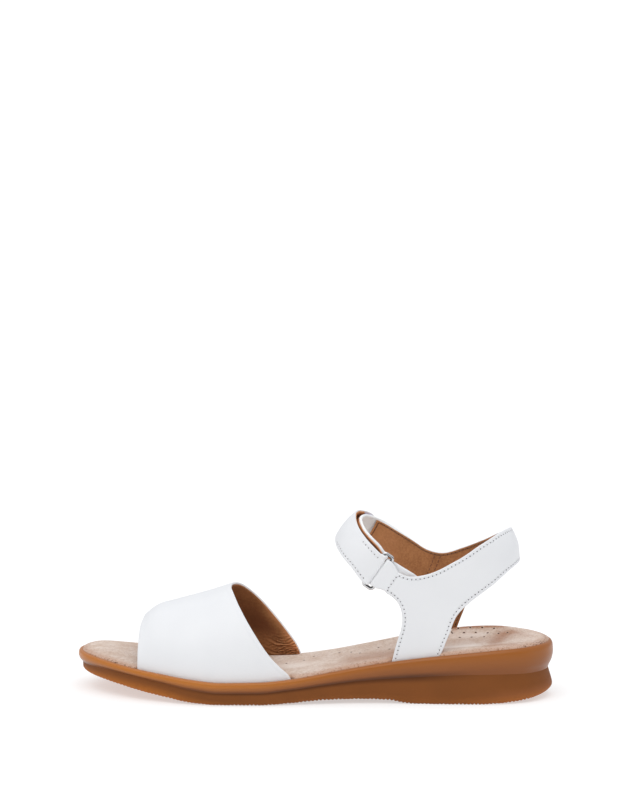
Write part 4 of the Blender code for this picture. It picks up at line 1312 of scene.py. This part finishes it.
# %% Strap backing
TAPE_FROM, TAPE_TO = math.radians(-36), math.radians(-67)
BACKING_INSIDE, BACKING_IN, FLAP_BACKING_IN, TAPE_BESIDE = 0.14, 0.6, 0.05, 0.7
FLAP_EDGE, LAYER_EDGE, CUT_LIGHT, SHADE_ACROSS = 3.0, 0.7, 0.8, (4, 16)
taped = np.zeros(len(strap_path), bool)
taped[-len(flap):] = (flap_turns <= TAPE_FROM) & (flap_turns >= TAPE_TO)
backing_in = np.where(on_flap, FLAP_BACKING_IN + TAPE_BESIDE * taped, BACKING_IN) * rounded_end
backing_grid = band_grid(strap_path, strap_below - backing_in, strap_above - backing_in)
strap_backing = add_grid_wall("strap_backing", backing_grid, BACKING_INSIDE, STRAP_FACE,
                              brown_lining, "strap_leather", "ankle_strap")
across = points_of(strap_backing)[:, 1]
edge_reach = np.where(on_flap, FLAP_EDGE, LAYER_EDGE)[:, None]
from_cut = from_sides(backing_grid) / edge_reach
cut_edge = np.ones(len(across))
cut_edge[:2 * from_cut.size] = np.tile((1 - smoothstep(from_cut, 0.3, 1.0)).ravel(), 2)
# Painted shade towards the ring, deep in the loop, and painted light along the backing's cut
# edges.
in_shade = smoothstep(across, *SHADE_ACROSS)
mark(strap_backing, "dark", in_shade * (1 - cut_edge) - CUT_LIGHT * cut_edge)

# %% Hook tape
hook_tape, at = open_finish("hook tape")
hooks = at.cells(0.9)
hook_colour = hooks.between(0.1, 0.6).blend(paint(226, 221, 234), paint(186, 179, 202))
close_finish(hook_tape, base_color=hook_colour, roughness=0.7 + hooks * 0.2,
             normal=hooks.bump(0.3))
TAPE_LOW, LOOP_ROWS = 0.74, slice(4, 20)
for name, rows, tape_in, thick in (("hook_tape", taped, 0.1, 0.6),
                                   ("loop_tape", LOOP_ROWS, 2.4, 0.35)):
    tape_grid = band_grid(strap_path[rows], strap_below[rows] - tape_in,
                          strap_above[rows] - tape_in)
    add_grid_wall(name, tape_grid, TAPE_LOW, TAPE_LOW + thick, hook_tape, "strap_leather",
                  "ankle_strap")

# %% Ring tab
TAB_WIDTH, TAB_EDGES, TAB_ROOT_RUN, TAB_WIDENS = 14.0, 1.2, 103.3, 105.5
TAB_LOW, TAB_HIGH, TAB_BACK, TAB_FACE = 1.5, 0.5, -0.76, 0.7
LAP_LENGTH, LAP_DRIFT, LAP_STEPS, TAB_STEPS = 15.0, 1.7, 17, 11
ROOT_DIP = table("run dip", (103, 2.1), (105.2, 1.75), (106.6, 1.1), (108.4, 0.4), (110.6, 0.0))
root_dip = curve_of(ROOT_DIP, "dip")
outer_run = np.linspace(TAB_ROOT_RUN, rear_bar, TAB_STEPS + 1)[:-1]
lap_share = np.linspace(0, 1, LAP_STEPS + 1)[1:]
lying = UPPER_WALL / 2 + GAP + STRAP_WALL / 2
inward = 2 * FOLD + (lying - 2 * FOLD) * smoothstep(lap_share, 0.0, 0.7)
tab_path = np.concatenate([
    rows_of(outer_run, ANKLE_LATERAL, RING_RISE - root_dip(outer_run) / 2, 0.0),
    fold_rows(rear_bar, ring_across, RING_RISE, -1),
    rows_of(rear_bar - LAP_LENGTH * lap_share, ANKLE_LATERAL - inward,
            RING_RISE + LAP_DRIFT * (1 - (1 - lap_share) ** 2), 0.0)])
at_ring = np.concatenate([smoothstep(outer_run, TAB_WIDENS, rear_bar), np.ones(FOLD_STEPS),
                          1 - smoothstep(lap_share, 0, 0.5)])
half_width = np.full(len(tab_path), (TAB_WIDTH - TAB_EDGES) / 2)
half_width[:len(outer_run)] -= root_dip(outer_run) / 2
tab_grid = band_grid(tab_path, half_width + TAB_LOW * at_ring, half_width + TAB_HIGH * at_ring)
add_grid_wall("ring_tab", tab_grid, TAB_BACK, TAB_FACE, white_leather, "tab_leather", "ring_tab")

# %% [markdown]
# ## Ring
# A loop of polished wire in the shape of a narrow rectangle joins strap and tab. It could be a
# curve with a bevel, but a loop of four round corners is short enough to sweep a circle along.
# Its inner side is painted nearly black: a painted dark reflection of the shaded gap between wire
# and leather.

# %% Ring
ring_metal, at = open_finish("ring metal")
scratch = at.noise(0.8, 2.0)
# The wire's inner side is painted nearly black: a painted dark reflection and shade.
inner = at.read("inner")
close_finish(ring_metal, base_color=inner.blend((0.62, 0.62, 0.63, 1), (0.05, 0.05, 0.05, 1)),
             metallic=1.0, roughness=0.03 + scratch * 0.05)
WIRE_SIDES, RING_WIRE, RING_DROP = 20, 1.8, 0.6
RING_LENGTH, RING_CORNER, CORNER_STEPS = 20.0, 1.5, 8
loop = []
for quadrant, (along, up) in enumerate(((1, 1), (-1, 1), (-1, -1), (1, -1))):
    corner = np.array([RING_RUN + along * (RING_PITCH / 2 - RING_CORNER),
                       RING_RISE + up * (RING_LENGTH / 2 - RING_CORNER)])
    for step in range(CORNER_STEPS + 1):
        turn = np.pi / 2 * (quadrant + step / CORNER_STEPS)
        out = np.array([np.cos(turn), np.sin(turn)])
        loop.append((*(corner + RING_CORNER * out), *out))
loop = np.array(loop)
sides = angles_round(WIRE_SIDES)
reach = RING_WIRE / 2 * np.cos(sides)
run = loop[:, 0, None] + loop[:, 2, None] * reach
rise = loop[:, 1, None] + loop[:, 3, None] * reach - RING_DROP
ring_points = (heel_corner + run[..., None] * run_way + rise[..., None] * rise_way
               + (ring_across + RING_WIRE / 2 * np.sin(sides))[None, :, None] * across_way)
ids = np.arange(ring_points[..., 0].size).reshape(ring_points.shape[:2])
after, beside = np.roll(ids, -1, axis=0), np.roll(ids, -1, axis=1)
opposite = np.roll(after, -1, axis=1)
ring_faces = np.stack([ids, beside, opposite, after], -1).reshape(-1, 4).tolist()
ring = make_piece("ring_loop", ring_points.reshape(-1, 3), ring_faces, ring_metal, "ring_metal",
                  "ring")
mark(ring, "inner", np.tile(smoothstep(-np.cos(sides), -0.1, 0.5), len(loop)))

# %% [markdown]
# ## Stitches
# A seam is a row of short threads that dip into needle holes. A texture could draw dots, but
# real thread catches light, so each stitch is a small bent tube and each hole a shallow cup,
# painted dark as painted shade inside the hole. All stitches of one seam are joined into one mesh.

# %% Stitch maker
STITCH_PITCH, THREAD, NEEDLE = 2.2, 0.24, 0.31
THREAD_SIDES, HOLE_SIDES, HOLE_RIM, HOLE_FLOOR, HOLE_STEP = 6, 8, 0.03, 0.02, 0.2
STITCH = table("share height", (0.15, -0.22), (0.26, 0.02), (0.5, 0.10), (0.74, 0.02),
               (0.85, -0.22))
ids = np.arange(len(STITCH["share"]) * THREAD_SIDES).reshape(-1, THREAD_SIDES)
beside = np.roll(ids, -1, axis=1)
TUBE_FACES = np.stack([ids[:-1], beside[:-1], beside[1:], ids[1:]], -1).reshape(-1, 4).tolist()
TUBE_FACES += [ids[0, ::-1].tolist(), ids[-1].tolist()]
HOLE_FACES = [[k, (k + 1) % HOLE_SIDES, HOLE_SIDES] for k in range(HOLE_SIDES)]


def join(parts):
    points, faces, first = [], [], 0
    for part_points, part_faces in parts:
        points.append(part_points)
        faces += [[i + first for i in face] for face in part_faces]
        first += len(part_points)
    return np.concatenate(points), faces


def at_length(path, lengths, where):
    return np.stack([np.interp(where, lengths, column) for column in path.T], -1)


def stitch_row(path, normals, lift=0.0):
    """Tubes and needle holes along a line that lies on a surface."""
    lengths = lengths_along(path)
    knots = np.linspace(0, lengths[-1], max(1, int(lengths[-1] / STITCH_PITCH)) + 1)
    around, rim = angles_round(THREAD_SIDES)[None, :, None], angles_round(HOLE_SIDES)[:, None]
    tubes, holes = [], []
    for start, end in zip(knots, knots[1:]):
        where = start + (end - start) * STITCH["share"]
        middle = at_length(path, lengths, where)
        normal = unit(at_length(normals, lengths, where))
        aside = unit(np.cross(unit(np.gradient(middle, axis=0)), normal))
        middle = middle + normal * (STITCH["height"] + lift)[:, None]
        ring = np.cos(around) * normal[:, None] + np.sin(around) * aside[:, None]
        tubes.append(((middle[:, None] + THREAD * ring).reshape(-1, 3), TUBE_FACES))
    for where in knots:
        middle = at_length(path, lengths, where)
        normal = unit(at_length(normals, lengths, where))
        ahead = unit(at_length(path, lengths, where + HOLE_STEP)
                     - at_length(path, lengths, where - HOLE_STEP))
        ring = np.cos(rim) * ahead + np.sin(rim) * np.cross(ahead, normal)
        rim_points = middle + normal * (lift + HOLE_RIM) + NEEDLE * ring
        floor_point = middle + normal * (lift + HOLE_FLOOR)
        holes.append((np.concatenate([rim_points, [floor_point]]), HOLE_FACES))
    return join(tubes), join(holes)


# %% Threads and holes
def thread_finish(name, colour, shade):
    material, at = open_finish(name)
    twist = at.noise(0.35, 1.0)
    return close_finish(material, base_color=twist.blend(paint(*shade), paint(*colour)),
                        roughness=0.55 + twist * 0.2, normal=twist.bump(0.05))


white_thread = thread_finish("white thread", (244, 244, 246), (220, 220, 223))
# The needle holes' cups are painted dark: painted shade inside each hole.
needle_hole_shade = thread_finish("needle hole", (84, 80, 80), (60, 57, 56))
flap_hole_shade = thread_finish("flap needle hole", (142, 138, 137), (104, 100, 99))
tan_thread = thread_finish("tan thread", (130, 88, 60), (98, 64, 42))
dark_thread = thread_finish("dark thread", (122, 76, 47), (98, 60, 36))
lining_hole_shade = thread_finish("dark hole", (52, 30, 18), (34, 20, 12))

# %% Stitches of the quarter
LINING_SEAM_INSET, SEAM_BREAK, FEWEST_POINTS = 1.3, 3.0, 5
JOIN_STATIONS, JOIN_SLANT, JOIN_TOP = (59.7, 62.7), 0.4, 69.0
JOIN_HEIGHTS = np.linspace(47.0, 68.5, 40)
LEATHER_LIFT, LINING_LIFT, JOIN_LIFT = -0.12, 0.05, -0.02
TAB_SEAM, TAB_SEAM_RISE = (100.0, 102.0), 0.10


def seam_lines(edge, inset):
    """Open lines along the pattern's edge, above the feet of its stems."""
    loop = seam_path(edge, inset)
    gaps = np.linalg.norm(np.diff(loop, axis=0), axis=1)
    lines = np.split(loop, np.nonzero(gaps > SEAM_BREAK)[0] + 1)
    if np.linalg.norm(loop[0] - loop[-1]) < SEAM_BREAK and len(lines) > 1:
        lines[0] = np.concatenate([lines.pop(), lines[0]])
    return [line for line in lines if len(line) > FEWEST_POINTS]


def quarter_rows(lines, side, lift, tab_rise=0.0):
    """Rows of stitches on the leather (side 1) or on the lining (side -1)."""
    rows = []
    for line in lines:
        points, normals = on_quarter(line)
        run = line[:, 0] * math.cos(LEAN) + line[:, 1] * math.sin(LEAN)
        height = UPPER_FACE + tab_rise * smoothstep(run, *TAB_SEAM)[:, None]
        rows.append(stitch_row(points + side * normals * height, side * normals, lift))
    return rows


lining_joins = []
for station in JOIN_STATIONS:
    slanted = station + JOIN_SLANT * (JOIN_TOP - JOIN_HEIGHTS)
    lining_joins.append(np.stack([girth_of(-1, slanted, JOIN_HEIGHTS), JOIN_HEIGHTS], 1))
outer_rows = quarter_rows(seam_lines(seam_edge, SEAM_INSET), 1, LEATHER_LIFT, TAB_SEAM_RISE)
inner_rows = quarter_rows(seam_lines(lining_edge, LINING_SEAM_INSET), -1, LINING_LIFT)
join_rows = quarter_rows(lining_joins, -1, JOIN_LIFT)
print(len(outer_rows), "seams on the leather,", len(inner_rows), "on the lining")
TUBES, HOLES = 0, 1
for name, rows, kind, look in (("quarter_stitches", outer_rows, TUBES, white_thread),
                               ("quarter_needle_holes", outer_rows, HOLES, needle_hole_shade),
                               ("lining_stitches", inner_rows, TUBES, tan_thread),
                               ("lining_join", join_rows, TUBES, dark_thread),
                               ("lining_needle_holes", inner_rows, HOLES, lining_hole_shade)):
    make_piece(name, *join([row[kind] for row in rows]), look, "quarter_leather")

# %% Stitches of the strap
LOOSE_SINK, STITCH_LIFT = 0.26, 0.08
ROOT_ROW, ROOT_COLUMNS = 1, slice(3, -3)
strap_threads, strap_holes = [], []
for column, tight in zip(SEAM_COLUMNS, drawn_tight):
    for rows, sunk in ((stitched & (tight > 0.5), SEAM_SINK),
                       (stitched & (tight <= 0.5), LOOSE_SINK)):
        line, normal = strap_grid[rows, column], strap_normals[rows, column]
        tubes, holes = stitch_row(line - normal * STRAP_FACE, -normal, STITCH_LIFT - sunk)
        strap_threads.append(tubes)
        if sunk == SEAM_SINK:       # only the tight part of a seam shows its holes
            strap_holes.append(holes)
root_line = backing_grid[ROOT_ROW, ROOT_COLUMNS]
root_normal = grid_normals(backing_grid)[ROOT_ROW, ROOT_COLUMNS]
strap_threads.append(stitch_row(root_line + root_normal * STRAP_FACE, root_normal)[TUBES])
make_piece("strap_stitches", *join(strap_threads), white_thread, "strap_leather")
make_piece("strap_needle_holes", *join(strap_holes), flap_hole_shade, "strap_leather")
